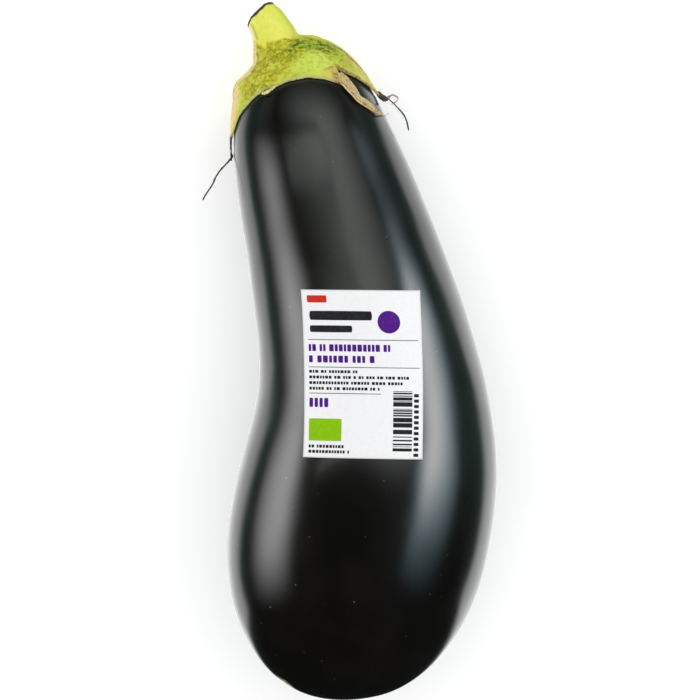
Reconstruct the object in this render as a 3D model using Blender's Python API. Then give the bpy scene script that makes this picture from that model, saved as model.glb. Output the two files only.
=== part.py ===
"""An aubergine lying on its side: fruit, calyx, stem and paper label.

Metres, +Z up. The fruit lies along Y with its stem towards +Y. The origin is on the
surface that it lies on, below the middle of the whole object. A turn is an angle
round the fruit: 0 is its right side (+X), 90 the side that looks up, 180 its left
side and 270 the side it lies on. A reach is a distance down the skin from the crown,
where the stem grows.
"""
import math
from typing import NamedTuple

import bmesh
import bpy
import numpy as np

MM = 0.001
GAP = 0.3 * MM  # left between pieces that touch on the real thing


class Section(NamedTuple):
    """A round section through the fruit or stem: centre, radius and lean, in mm and degrees."""

    x: float
    y: float
    z: float
    radius: float
    lean: float

    def centre(self) -> np.ndarray:
        """Middle of the section, in metres."""
        return np.array((self.x, self.y, self.z)) * MM

    def facing(self) -> np.ndarray:
        """Direction in which the section faces, towards the end of the stem."""
        lean = math.radians(self.lean)
        return np.array((-math.sin(lean), math.cos(lean), 0.0))

    def point(self, turn: float, radius: float | None = None) -> np.ndarray:
        """Point at a turn on the section's edge, or at another radius, in metres."""
        radius = self.radius * MM if radius is None else radius
        lean = math.radians(self.lean)
        out = radius * math.cos(turn)
        offset = (out * math.cos(lean), out * math.sin(lean), radius * math.sin(turn))
        return self.centre() + offset


# The fruit from its blossom end to its neck
FRUIT_SECTIONS = (
    Section(-14.1, -82.0, 35.5, 9.6, -31.0),
    Section(-8.8, -76.1, 34.6, 21.1, -25.5),
    Section(-3.2, -64.6, 33.3, 29.0, -20.5),
    Section(1.6, -49.0, 32.0, 32.4, -14.5),
    Section(5.3, -29.2, 31.8, 31.8, -8.5),
    Section(6.2, -11.0, 29.7, 29.0, -4.0),
    Section(3.2, 7.2, 27.3, 26.6, 1.5),
    Section(-1.5, 25.0, 24.4, 24.1, 8.0),
    Section(-6.3, 41.5, 21.5, 21.9, 12.0),
    Section(-10.0, 55.0, 21.0, 19.5, 11.8),
    Section(-12.1, 63.7, 20.6, 16.6, 12.8),
    Section(-14.3, 70.6, 20.2, 10.9, 16.3),
)
BLOSSOM_END = np.array((-16.0, -82.9, 36.0)) * MM
CROWN = np.array((-16.8, 74.4, 20.0)) * MM
CROWN_ALONG = len(FRUIT_SECTIONS) + 1
FRUIT_COLUMNS = 48
FRUIT_RINGS_PER_SECTION = 4
SCAR_DEPTH = 0.7 * MM
SCAR_RADIUS = 3.0 * MM

# The calyx: its sinuses lie this far down the skin, and its lobes reach further
SINUS_REACH = 17.2
CALYX_COLUMNS = 120
CALYX_RINGS = 9
CALYX_UNDER_RINGS = 5
COLLAR_FLARE = 1.4 * MM  # the calyx's first ring on the skin lies so much wider than its collar
MARGIN_THICKNESS = 0.8 * MM
MARGIN_WAVE = 0.35  # how far the cut edge wavers, in mm
MARGIN_WAVES = 17
CROWN_THICKNESS = 3.25 * MM
CROWN_SIDE_THICKNESS = 1.25 * MM  # so much more on the right, and less on the left
THIN_FROM = 27.0 * MM  # reach at which the calyx is down to its margin's thickness
SHOULDER_TURN = 180.0  # where the left sepal humps up, before it lies down on the skin
SHOULDER_REACH = 13.8 * MM
SHOULDER_HEIGHT = 1.3 * MM
SHOULDER_WIDTH = 28.0
SHOULDER_LENGTH = 3.2 * MM

# The stem, from the calyx's collar to its cut end
STEM_SECTIONS = (
    Section(-18.1, 76.75, 20.0, 5.85, 20.0),
    Section(-19.1, 79.1, 19.9, 5.5, 24.0),
    Section(-20.75, 82.25, 19.7, 4.8, 33.0),
    Section(-22.2, 83.9, 19.5, 4.35, 45.0),
    Section(-22.75, 84.45, 19.4, 3.7, 48.0),
)
STEM_COLUMNS = 32
BORE_RADIUS = 5.1 * MM
CUT_HOLLOW = 0.5 * MM  # how far the middle of the cut has dried in
THREAD_RADIUS = 0.36  # of the dried threads, in mm

# The label, seen from straight above: its corners as x and y, anticlockwise from lower left
LABEL_CORNERS = ((-11.65, -26.8), (18.35, -27.3), (17.75, 14.9), (-12.1, 15.1))
LABEL_COLUMNS = 14
LABEL_ROWS = 18
LABEL_THICKNESS = 0.6 * MM
ABOVE_FRUIT = 100.0 * MM  # the height that the label is laid down from


class Lobe(NamedTuple):
    """A sepal: its turn, its reach, how it narrows on each side, and how far its tip lifts."""

    turn: float
    reach: float
    before: float
    after: float
    power: float
    curl: float

    def depth(self, degrees: float) -> float:
        """How far the lobe passes the sinuses at a turn, in mm."""
        off = (degrees - self.turn + 180.0) % 360.0 - 180.0
        share = abs(off) / (self.after if off > 0.0 else self.before)
        return (self.reach - SINUS_REACH) * max(0.0, 1.0 - share) ** self.power


LOBES = (
    Lobe(5.0, 29.0, 32.0, 50.0, 1.0, 0.4),
    Lobe(51.0, 23.5, 4.0, 50.0, 1.9, 0.0),
    Lobe(173.0, 26.5, 58.0, 34.0, 1.5, 0.0),
    Lobe(235.0, 27.0, 32.0, 34.0, 1.5, 0.9),
    Lobe(298.0, 26.0, 34.0, 34.0, 1.5, 0.9),
)


class Bead(NamedTuple):
    """A point of a strand: its place, its half width and its half thickness, in mm."""

    x: float
    y: float
    z: float
    width: float
    thickness: float


def spline_slopes(count: int) -> np.ndarray:
    """Matrix that turns the knots of a closed cubic spline into its slopes there."""
    here = np.eye(count)
    ahead, behind = np.roll(here, 1, axis=1), np.roll(here, -1, axis=1)
    return np.linalg.solve(4.0 * here + ahead + behind, 3.0 * (ahead - behind))


SLOPES = spline_slopes(2 * len(FRUIT_SECTIONS) + 2)


def skin(turn: float, along: np.ndarray) -> np.ndarray:
    """Points of the skin at a turn; along is 0 at the blossom end and counts the sections."""
    up = [section.point(turn) for section in FRUIT_SECTIONS]
    down = [section.point(turn + math.pi) for section in reversed(FRUIT_SECTIONS)]
    knots = np.array([BLOSSOM_END, *up, CROWN, *down])
    slopes = SLOPES @ knots
    first = np.floor(along).astype(int)
    part = (along - first)[:, None]
    last, first = (first + 1) % len(knots), first % len(knots)
    rise = part * part * (3.0 - 2.0 * part)
    place = (1.0 - rise) * knots[first] + rise * knots[last]
    leave = part * (1.0 - part) ** 2 * slopes[first]
    arrive = part * part * (1.0 - part) * slopes[last]
    return place + leave - arrive


def skin_and_normals(turn: float, along: np.ndarray) -> tuple[np.ndarray, np.ndarray]:
    """Points of the skin at a turn, and the directions straight out of it there."""
    step = 0.001
    up = skin(turn, along + step) - skin(turn, along - step)
    round_it = skin(turn + step, along) - skin(turn - step, along)
    out = np.cross(up, round_it)
    return skin(turn, along), out / np.linalg.norm(out, axis=1, keepdims=True)


def over_crown(turn: float, reaches: list[float], lifts: list[float]) -> list[np.ndarray]:
    """Points at these reaches from the crown, lifted off the skin, all in metres."""
    table = np.linspace(CROWN_ALONG, CROWN_ALONG - 5.0, 150)
    steps = np.linalg.norm(np.diff(skin(turn, table), axis=0), axis=1)
    travelled = np.concatenate(([0.0], np.cumsum(steps)))
    points, out = skin_and_normals(turn, np.interp(reaches, travelled, table))
    return list(points + out * np.array(lifts)[:, None])


def loft(name: str, rings: list, ends: tuple = (), looped: bool = False) -> bpy.types.Object:
    """Skin over equal rings; each end is a point that its ring closes to, or they loop."""
    mesh = bmesh.new()
    rows = [[mesh.verts.new(point) for point in ring] for ring in rings]
    pairs = list(zip(rows, rows[1:] + rows[:1])) if looped else list(zip(rows, rows[1:]))
    for row, following in pairs:
        for i in range(len(row)):
            mesh.faces.new((row[i - 1], row[i], following[i], following[i - 1]))
    for row, end in zip((rows[0], rows[-1]), ends):
        pole = mesh.verts.new(end)
        for i in range(len(row)):
            mesh.faces.new((row[i - 1], row[i], pole))
    return to_object(name, mesh)


def to_object(name: str, mesh: bmesh.types.BMesh) -> bpy.types.Object:
    """Make a smooth shaded object from a mesh, with its faces pointing out."""
    bmesh.ops.recalc_face_normals(mesh, faces=mesh.faces)
    data = bpy.data.meshes.new(name)
    mesh.to_mesh(data)
    mesh.free()
    data.shade_smooth()
    data.set_sharp_from_angle(angle=math.radians(40))
    made = bpy.data.objects.new(name, data)
    bpy.context.scene.collection.objects.link(made)
    return made


def dress(piece: bpy.types.Object, title: str, colour: tuple, roughness: float) -> None:
    """Give a piece its own material, from a linear colour and a roughness."""
    material = bpy.data.materials.new(title)
    material.use_nodes = True
    shader = material.node_tree.nodes["Principled BSDF"]
    shader.inputs["Base Color"].default_value = (*colour, 1.0)
    shader.inputs["Roughness"].default_value = roughness
    shader.inputs["Metallic"].default_value = 0.0
    piece.data.materials.clear()
    piece.data.materials.append(material)


def turns(count: int) -> list[float]:
    """Angles of the columns round a piece."""
    return [2.0 * math.pi * column / count for column in range(count)]


def make_fruit() -> bpy.types.Object:
    """The fruit: one body, with the corky scar drawn in at its blossom end."""
    inner_rings = CROWN_ALONG * FRUIT_RINGS_PER_SECTION - 1
    along = np.arange(1, inner_rings + 1) / FRUIT_RINGS_PER_SECTION
    columns = []
    for turn in turns(FRUIT_COLUMNS):
        points, out = skin_and_normals(turn, along)
        from_scar = np.linalg.norm(points - BLOSSOM_END, axis=1) / SCAR_RADIUS
        columns.append(points - out * SCAR_DEPTH * np.exp(-from_scar**2)[:, None])
    inward = np.mean(columns, axis=(0, 1)) - BLOSSOM_END
    scar = BLOSSOM_END + inward / np.linalg.norm(inward) * SCAR_DEPTH
    fruit = loft("fruit", list(zip(*columns)), (scar, CROWN))
    press_flat(fruit)
    dress(fruit, "aubergine skin", (0.006, 0.005, 0.006), 0.16)
    return fruit


def press_flat(piece: bpy.types.Object) -> None:
    """Cut away what would sink into the surface, which leaves the flat spots it lies on."""
    mesh = bmesh.new()
    mesh.from_mesh(piece.data)
    everything = [*mesh.verts, *mesh.edges, *mesh.faces]
    surface = {"plane_co": (0.0, 0.0, 0.0), "plane_no": (0.0, 0.0, -1.0)}
    bmesh.ops.bisect_plane(mesh, geom=everything, clear_outer=True, **surface)
    open_edges = [edge for edge in mesh.edges if edge.is_boundary]
    spots = bmesh.ops.holes_fill(mesh, edges=open_edges, sides=0)["faces"]
    for spot in spots:
        spot.smooth = False
    mesh.to_mesh(piece.data)
    mesh.free()


def longest_lobe(turn: float) -> Lobe:
    """The sepal that makes the calyx's margin at a turn."""
    return max(LOBES, key=lambda lobe: lobe.depth(math.degrees(turn)))


def margin_reach(turn: float) -> float:
    """How far down the skin the calyx reaches at a turn, in metres."""
    lobe_depth = longest_lobe(turn).depth(math.degrees(turn))
    wave = MARGIN_WAVE * math.sin(MARGIN_WAVES * turn) * math.cos(3.0 * turn + 1.0)
    return (SINUS_REACH + lobe_depth + wave) * MM


def calyx_thickness(turn: float, reach: float) -> float:
    """Thickness of the calyx: fleshy round the stem, thin at its margin."""
    crown = CROWN_THICKNESS + CROWN_SIDE_THICKNESS * math.cos(turn)
    share = min(1.0, reach / THIN_FROM)
    fade = 1.0 - share * share * (3.0 - 2.0 * share)
    return MARGIN_THICKNESS + (crown - MARGIN_THICKNESS) * fade


def calyx_under(turn: float, reach: float) -> float:
    """How far the calyx's underside stands off the skin: its gap, and more under a curled tip."""
    lobe = longest_lobe(turn)
    share = max(0.0, reach / MM - SINUS_REACH) / (lobe.reach - SINUS_REACH)
    return GAP + lobe.curl * MM * share * share


def calyx_over(turn: float, reach: float) -> float:
    """How far the calyx's upper side stands off the skin, with the hump on the left."""
    round_it = (math.degrees(turn) - SHOULDER_TURN) / SHOULDER_WIDTH
    down_it = (reach - SHOULDER_REACH) / SHOULDER_LENGTH
    hump = SHOULDER_HEIGHT * math.exp(-(round_it**2) - down_it**2)
    return calyx_under(turn, reach) + calyx_thickness(turn, reach) + hump


def calyx_column(turn: float) -> list[np.ndarray]:
    """One slice of the calyx: up the stem's bore, out over the collar, down and back under."""
    collar = STEM_SECTIONS[0]
    bore = over_crown(turn, [BORE_RADIUS], [GAP])[0]
    start, margin = collar.radius * MM + COLLAR_FLARE, margin_reach(turn)
    outer = list(np.linspace(start, margin, CALYX_RINGS + 1))
    inner = list(np.linspace(margin - MARGIN_THICKNESS / 4.0, start, CALYX_UNDER_RINGS + 1))
    lifts = [calyx_over(turn, reach) for reach in outer]
    lifts[-1] -= MARGIN_THICKNESS / 3.0
    outside = over_crown(turn, outer, lifts)
    inside = over_crown(turn, inner, [calyx_under(turn, reach) for reach in inner])
    return [bore, collar.point(turn, BORE_RADIUS), collar.point(turn), *outside, *inside]


def make_calyx() -> bpy.types.Object:
    """The calyx: a cap of pointed sepals, with its rolled strip and dried tips fused on."""
    columns = [calyx_column(turn) for turn in turns(CALYX_COLUMNS)]
    calyx = loft("calyx", list(zip(*columns)), looped=True)
    fuse(calyx, [strand(name, *details) for name, details in calyx_strands().items()])
    dress(calyx, "fresh green calyx", (0.37, 0.58, 0.09), 0.55)
    return calyx


def skin_beads(*places: tuple) -> list[Bead]:
    """Beads on the skin, each given as turn, reach, lift, half width and half thickness."""
    beads = []
    for turn, reach, lift, width, thickness in places:
        point = over_crown(math.radians(turn), [reach * MM], [lift * MM])[0] / MM
        beads.append(Bead(*point, width, thickness))
    return beads


def calyx_strands() -> dict:
    """The loose ends of the calyx, each with its route, sections along it and sides."""
    strip = skin_beads((58, 18.5, 1.3, 1.6, 0.6), (50, 22.5, 1.1, 1.5, 0.6), (46, 25.8, 1.05, 1.25, 0.55),
                       (40, 28.3, 1.0, 1.1, 0.55), (31, 31.7, 1.0, 0.85, 0.5), (19, 33.6, 1.0, 0.6, 0.45),
                       (8, 33.4, 1.3, 0.4, 0.4))
    flake = skin_beads((104, 16.6, 1.3, 0.9, 0.5), (116, 18.0, 1.0, 0.9, 0.45), (127, 18.4, 1.0, 0.5, 0.4))
    black_tip = [*skin_beads((11, 25.0, 0.9, 1.3, 0.5), (9, 28.0, 1.1, 1.1, 0.5)),
                 Bead(9.4, 63.1, 20.8, 0.7, 0.45), Bead(10.4, 62.6, 20.8, 0.4, 0.4)]
    curl = thread((9.0, 63.3, 20.8), (10.4, 63.9, 21.2), (11.4, 63.9, 21.5), (12.1, 63.3, 21.5),
                  (11.9, 62.4, 21.3), (11.1, 61.8, 21.0), (10.3, 61.4, 20.6))
    right_thread = thread((9.2, 63.2, 20.8), (11.4, 61.9, 20.4), (13.2, 59.9, 19.9),
                          (14.2, 58.0, 19.4), (14.8, 55.1, 18.8))
    left_root = skin_beads((172, 24.5, 0.7, 0.4, 0.4), (178, 27.0, 0.8, 0.36, 0.36),
                           (180, 31.0, 0.9, 0.36, 0.36))
    left_thread = left_root + thread((-30.0, 48.0, 20.2), (-31.4, 45.9, 19.8), (-33.4, 43.6, 19.4),
                                     (-34.4, 41.4, 19.0), (-36.6, 38.0, 18.2))
    return {
        "strip": (strip, 4, 10),
        "flake": (flake, 3, 8),
        "black_tip": (black_tip, 3, 8),
        "curl": (curl, 2, 6),
        "right_thread": (right_thread, 2, 6),
        "left_thread": (left_thread, 2, 6),
    }


def thread(*places: tuple) -> list[Bead]:
    """Beads of a round dried thread through these places."""
    return [Bead(*place, THREAD_RADIUS, THREAD_RADIUS) for place in places]


def smooth_route(beads: list[Bead], steps: int) -> np.ndarray:
    """Rows of a curve through the beads, with so many steps from each bead to the next."""
    knots = np.array([beads[0], *beads, beads[-1]])
    rows = []
    for before, first, last, after in zip(knots, knots[1:], knots[2:], knots[3:]):
        for step in range(steps):
            part = step / steps
            bend = (2 * before - 5 * first + 4 * last - after) * part
            twist = (3 * (first - last) + after - before) * part**2
            rows.append(first + 0.5 * part * (last - before + bend + twist))
    return np.array([*rows, knots[-1]])


def strand(name: str, beads: list[Bead], steps: int, sides: int) -> bpy.types.Object:
    """A closed strand with oval sections, flat against the neck of the fruit."""
    rows = smooth_route(beads, steps)
    centres = rows[:, :3] * MM
    ahead = np.gradient(centres, axis=0)
    ahead /= np.linalg.norm(ahead, axis=1, keepdims=True)
    away = centres - FRUIT_SECTIONS[-2].centre()
    across = np.cross(ahead, away)
    across /= np.linalg.norm(across, axis=1, keepdims=True)
    up = np.cross(across, ahead)
    rings = []
    for centre, side, rise, row in zip(centres, across, up, rows):
        ring = [centre + (side * row[3] * math.cos(turn) + rise * row[4] * math.sin(turn)) * MM
                for turn in turns(sides)]
        rings.append(ring)
    return loft(name, rings, (centres[0], centres[-1]))


def fuse(piece: bpy.types.Object, additions: list) -> None:
    """Join what grows from a piece to it, as one body."""
    group = bpy.data.collections.new("additions")
    bpy.context.scene.collection.children.link(group)
    for addition in additions:
        bpy.context.scene.collection.objects.unlink(addition)
        group.objects.link(addition)
    union = piece.modifiers.new("fused", "BOOLEAN")
    union.operation = "UNION"
    union.operand_type = "COLLECTION"
    union.collection = group
    union.solver = "EXACT"
    evaluated = piece.evaluated_get(bpy.context.evaluated_depsgraph_get())
    fused = bpy.data.meshes.new_from_object(evaluated)
    piece.modifiers.clear()
    piece.data = fused
    for addition in additions:
        bpy.data.objects.remove(addition)
    bpy.data.collections.remove(group)


def make_stem() -> bpy.types.Object:
    """The cut stem: its foot stands in the calyx's bore, its shoulder on the collar."""
    collar, *upper = STEM_SECTIONS
    foot_radius = BORE_RADIUS - GAP
    off_collar = collar.facing() * GAP
    columns = []
    for turn in turns(STEM_COLUMNS):
        foot = over_crown(turn, [foot_radius], [GAP])[0]
        neck = collar.point(turn, foot_radius) + off_collar
        shoulder = collar.point(turn) + off_collar
        columns.append([foot, neck, shoulder, *(section.point(turn) for section in upper)])
    cut = upper[-1]
    middle = cut.centre() - cut.facing() * CUT_HOLLOW
    bottom = CROWN + FRUIT_SECTIONS[-1].facing() * GAP
    stem = loft("stem", list(zip(*columns)), (bottom, middle))
    dress(stem, "cut green stalk", (0.79, 0.83, 0.15), 0.5)
    return stem


def make_label(fruit: bpy.types.Object) -> bpy.types.Object:
    """The paper label: a flat sheet laid down on the fruit, then given its thickness."""
    corners = [np.array((x * MM, y * MM, ABOVE_FRUIT)) for x, y in LABEL_CORNERS]
    lower_left, lower_right, upper_right, upper_left = corners
    mesh = bmesh.new()
    rows = []
    for up in np.linspace(0.0, 1.0, LABEL_ROWS + 1):
        left = lower_left + (upper_left - lower_left) * up
        right = lower_right + (upper_right - lower_right) * up
        rows.append([mesh.verts.new(place) for place in np.linspace(left, right, LABEL_COLUMNS + 1)])
    for row, following in zip(rows, rows[1:]):
        for i in range(LABEL_COLUMNS):
            mesh.faces.new((row[i], row[i + 1], following[i + 1], following[i]))
    label = to_object("label", mesh)
    lay_down = label.modifiers.new("laid on the fruit", "SHRINKWRAP")
    lay_down.target = fruit
    lay_down.wrap_method = "PROJECT"
    lay_down.wrap_mode = "ABOVE_SURFACE"
    lay_down.use_negative_direction = True
    lay_down.use_positive_direction = False
    lay_down.use_project_z = True
    lay_down.offset = GAP
    paper = label.modifiers.new("paper thickness", "SOLIDIFY")
    paper.thickness = LABEL_THICKNESS
    paper.offset = 1.0
    dress(label, "coated white paper", (0.9, 0.9, 0.9), 0.45)
    return label


def main() -> None:
    """Clear the scene and build the aubergine."""
    for old in list(bpy.data.objects):
        bpy.data.objects.remove(old)
    fruit = make_fruit()
    make_calyx()
    make_stem()
    make_label(fruit)


main()
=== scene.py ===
"""The looks of an aubergine: waxy fruit, green calyx, cut stem and printed paper label.

Metres, +Z up. The fruit lies along Y with its stem towards +Y, and the camera looks straight
down on it. A turn is an angle round the fruit: 0 is its right side (+X), 90 degrees the side
that looks up, 180 its left side and 270 the side it lies on. A reach is a distance down the
skin from the crown, where the stem grows, and a lift is a height above the skin.
"""

import logging
import math
from dataclasses import dataclass, field
from enum import Enum
from typing import NamedTuple

import bmesh
import bpy
import numpy as np
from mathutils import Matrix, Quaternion, Vector


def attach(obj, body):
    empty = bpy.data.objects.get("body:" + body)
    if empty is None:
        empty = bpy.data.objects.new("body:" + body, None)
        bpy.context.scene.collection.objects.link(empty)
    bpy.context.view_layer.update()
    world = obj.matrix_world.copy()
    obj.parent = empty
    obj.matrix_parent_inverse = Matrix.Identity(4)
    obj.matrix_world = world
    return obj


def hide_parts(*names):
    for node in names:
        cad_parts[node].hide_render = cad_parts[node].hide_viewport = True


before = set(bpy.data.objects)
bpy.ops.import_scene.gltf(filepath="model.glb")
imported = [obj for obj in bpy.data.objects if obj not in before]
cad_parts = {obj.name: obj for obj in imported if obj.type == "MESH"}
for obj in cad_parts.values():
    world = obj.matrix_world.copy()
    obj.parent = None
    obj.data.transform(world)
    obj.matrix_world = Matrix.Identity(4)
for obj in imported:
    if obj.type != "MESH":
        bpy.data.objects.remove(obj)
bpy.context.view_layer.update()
LOG = logging.getLogger("aubergine")
MM = 0.001
FULL_TURN = 2.0 * math.pi
MERGE_DISTANCE = 0.004 * MM
UNDER_EVERYTHING = -1.0  # a height that no point reaches, so nothing is pressed flat
RELIEF_FROM, RELIEF_WHOLE = 0.3 * MM, 4.0 * MM  # heights above the table where relief begins and is whole

Array = np.ndarray
Material, Mesh, Object = bpy.types.Material, bpy.types.Mesh, bpy.types.Object
Node, Socket, Tree = bpy.types.Node, bpy.types.NodeSocket, bpy.types.NodeTree
Outputs = bpy.types.bpy_prop_collection  # a node's outputs, by name or number


def add_node(tree: Tree, kind: str, values: dict | None = None, **settings) -> Outputs:
    """Add a node to a tree, set it up and feed its inputs.

    Args:
        tree: The shader or geometry tree.
        kind: The node's type, such as "ShaderNodeMath".
        values: What goes into its inputs, by name or number: a plain value or a socket to link.
        settings: The node's own properties, such as operation.

    Returns:
        The node's outputs.
    """
    node = tree.nodes.new(kind)
    for name, setting in settings.items():
        setattr(node, name, setting)
    for key, value in (values or {}).items():
        if isinstance(value, Socket):
            tree.links.new(value, node.inputs[key])
        else:
            node.inputs[key].default_value = value
    return node.outputs


def linear(code: str) -> tuple[float, float, float, float]:
    """Turn an sRGB hex colour such as "#e6eb6c" to linear light."""
    parts = [int(code[i:i + 2], 16) / 255.0 for i in (1, 3, 5)]
    red, green, blue = (p / 12.92 if p <= 0.04045 else ((p + 0.055) / 1.055) ** 2.4 for p in parts)
    return red, green, blue, 1.0


def smooth(low: float, high: float, values: Array) -> Array:
    """Rise smoothly from 0 at low to 1 at high."""
    share = np.clip((np.asarray(values) - low) / (high - low), 0.0, 1.0)
    return share * share * (3.0 - 2.0 * share)


# Finishes


class Pattern(NamedTuple):
    """Soft patches, drawn with noise on a piece's own coordinates.

    Its size is the patches' usual size in mm. The mask is 0 below the low share of the noise and 1
    above the high share. Detail counts the finer layers, and seed picks the noise. A scale below 1
    draws the patches out along its axis.
    """

    size: float
    low: float
    high: float
    detail: float
    seed: float
    scale: tuple[float, float, float] = (1.0, 1.0, 1.0)


Coat = tuple[str | Socket | float, ...]  # a colour, and the masks through which it is laid on
Bumps = tuple[Socket, float, float]  # their height, their strength, and how deep they go in metres


@dataclass(frozen=True)
class Finish:
    """What every finish has: a name, and how a material is started, patterned and coloured."""

    title: str

    def start(self) -> tuple[Material, Tree, Node]:
        """Start an empty material.

        Returns:
            The material, its tree and its shader.
        """
        material = bpy.data.materials.new(self.title)
        material.use_nodes = True
        tree = material.node_tree
        return material, tree, tree.nodes["Principled BSDF"]

    @staticmethod
    def patches(tree: Tree, pattern: Pattern) -> Socket:
        """Draw a pattern's soft patches.

        Args:
            tree: The material's tree.
            pattern: The pattern.

        Returns:
            The mask.
        """
        here = add_node(tree, "ShaderNodeTexCoord")["Object"]
        place = add_node(tree, "ShaderNodeMapping", {"Vector": here, "Scale": pattern.scale})[0]
        values = {"Vector": place, "Scale": 1.0 / (pattern.size * MM), "Detail": pattern.detail,
                  "W": pattern.seed}
        noise = add_node(tree, "ShaderNodeTexNoise", values, noise_dimensions="4D")[0]
        ramp = {"Value": noise, "From Min": pattern.low, "From Max": pattern.high}
        return add_node(tree, "ShaderNodeMapRange", ramp, interpolation_type="SMOOTHSTEP")[0]

    @staticmethod
    def painted(tree: Tree, name: str, low: float = 0.0, high: float = 1.0) -> Socket:
        """Read a value painted on the piece.

        Args:
            tree: The material's tree.
            name: The value's name.
            low: The value where the mask is 0.
            high: The value where the mask is 1.

        Returns:
            The mask.
        """
        value = add_node(tree, "ShaderNodeAttribute", attribute_name=name)["Fac"]
        ramp = {"Value": value, "From Min": low, "From Max": high}
        return add_node(tree, "ShaderNodeMapRange", ramp, interpolation_type="SMOOTHSTEP")[0]

    @staticmethod
    def faded(tree: Tree, light: Socket | float, ramps: list[tuple[Socket, float, float]]) -> Socket:
        """Light that fades away smoothly at every edge.

        Args:
            tree: The material's tree.
            light: The light before it fades.
            ramps: For each edge a coordinate, where the light has gone and where it is whole.

        Returns:
            The light that is left.
        """
        for value, gone, whole in ramps:
            ramp = {"Value": value, "From Min": gone, "From Max": whole}
            share = add_node(tree, "ShaderNodeMapRange", ramp, interpolation_type="SMOOTHSTEP")[0]
            light = add_node(tree, "ShaderNodeMath", {0: share, 1: light}, operation="MULTIPLY")[0]
        return light

    @staticmethod
    def cover(tree: Tree, shader: Node, ground: str, coats: list[Coat], even: dict,
              bumps: Bumps | None = None) -> None:
        """Give a shader its colours, its even values and its bumps.

        Args:
            tree: The material's tree.
            shader: Its shader.
            ground: The colour under all coats.
            coats: The coats, laid one over another, each only where all of its masks cover.
            even: Values that are the same all over, by the names of the shader's inputs.
            bumps: Bumps too low for the mesh.
        """
        surface = linear(ground)
        for colour, mask, *others in coats:
            for other in others:
                mask = add_node(tree, "ShaderNodeMath", {0: mask, 1: other}, operation="MULTIPLY")[0]
            values = {0: mask, 6: surface, 7: linear(colour)}
            surface = add_node(tree, "ShaderNodeMix", values, data_type="RGBA")[2]
        tree.links.new(surface, shader.inputs["Base Color"])
        for name, value in even.items():
            shader.inputs[name].default_value = value
        if bumps:
            values = dict(zip(("Height", "Strength", "Distance"), bumps))
            tree.links.new(add_node(tree, "ShaderNodeBump", values)[0], shader.inputs["Normal"])


@dataclass(frozen=True)
class WaxySkin(Finish):
    """Aubergine skin: nearly black, under a thin natural wax that mirrors soft lights."""

    ground: str = "#0b0a09"
    bloom: str = "#12100f"  # a little browner where the skin is thinner
    speck: str = "#5c5345"
    sheltered: str = "#2b2527"  # skin that grew under the calyx, out of the light
    cork: str = "#a98f5e"
    cork_crack: str = "#4f3c22"
    cloud: Pattern = Pattern(14.0, 0.45, 0.75, 3.0, 1.0)
    specks: Pattern = Pattern(0.8, 0.83, 0.87, 0.0, 4.0)
    sheltering: Pattern = Pattern(2.0, 0.2, 0.7, 3.0, 2.0, (1.0, 0.4, 1.0))
    cracks: Pattern = Pattern(0.5, 0.5, 0.62, 4.0, 3.0)
    # The skin's cells are far finer: they are drawn this coarse so that the gloss shows them at all
    grain: Pattern = Pattern(0.35, 0.0, 1.0, 3.0, 5.0, (1.0, 0.4, 1.0))
    grain_height: float = 0.006 * MM
    wear: Pattern = Pattern(9.0, 0.2, 0.8, 4.0, 6.0)
    polished: float = 0.18
    worn: float = 0.23
    corky: float = 0.8
    ior: float = 1.5

    def make(self) -> Material:
        """Make the material.

        Returns:
            The material.
        """
        material, tree, shader = self.start()
        cork = self.painted(tree, "cork", 0.35, 0.65)
        coats = [
            (self.bloom, self.patches(tree, self.cloud)),
            (self.speck, self.patches(tree, self.specks)),
            (self.sheltered, self.painted(tree, "sheltered"), self.patches(tree, self.sheltering)),
            (self.cork, cork),
            (self.cork_crack, cork, self.patches(tree, self.cracks)),
        ]
        bumps = (self.patches(tree, self.grain), 1.0, self.grain_height)
        self.cover(tree, shader, self.ground, coats, {"IOR": self.ior}, bumps)
        wear = {"Value": self.patches(tree, self.wear), "To Min": self.polished, "To Max": self.worn}
        values = {0: cork, 2: add_node(tree, "ShaderNodeMapRange", wear)[0], 3: self.corky}
        rough = add_node(tree, "ShaderNodeMix", values, data_type="FLOAT")[0]
        tree.links.new(rough, shader.inputs["Roughness"])
        return material


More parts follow.
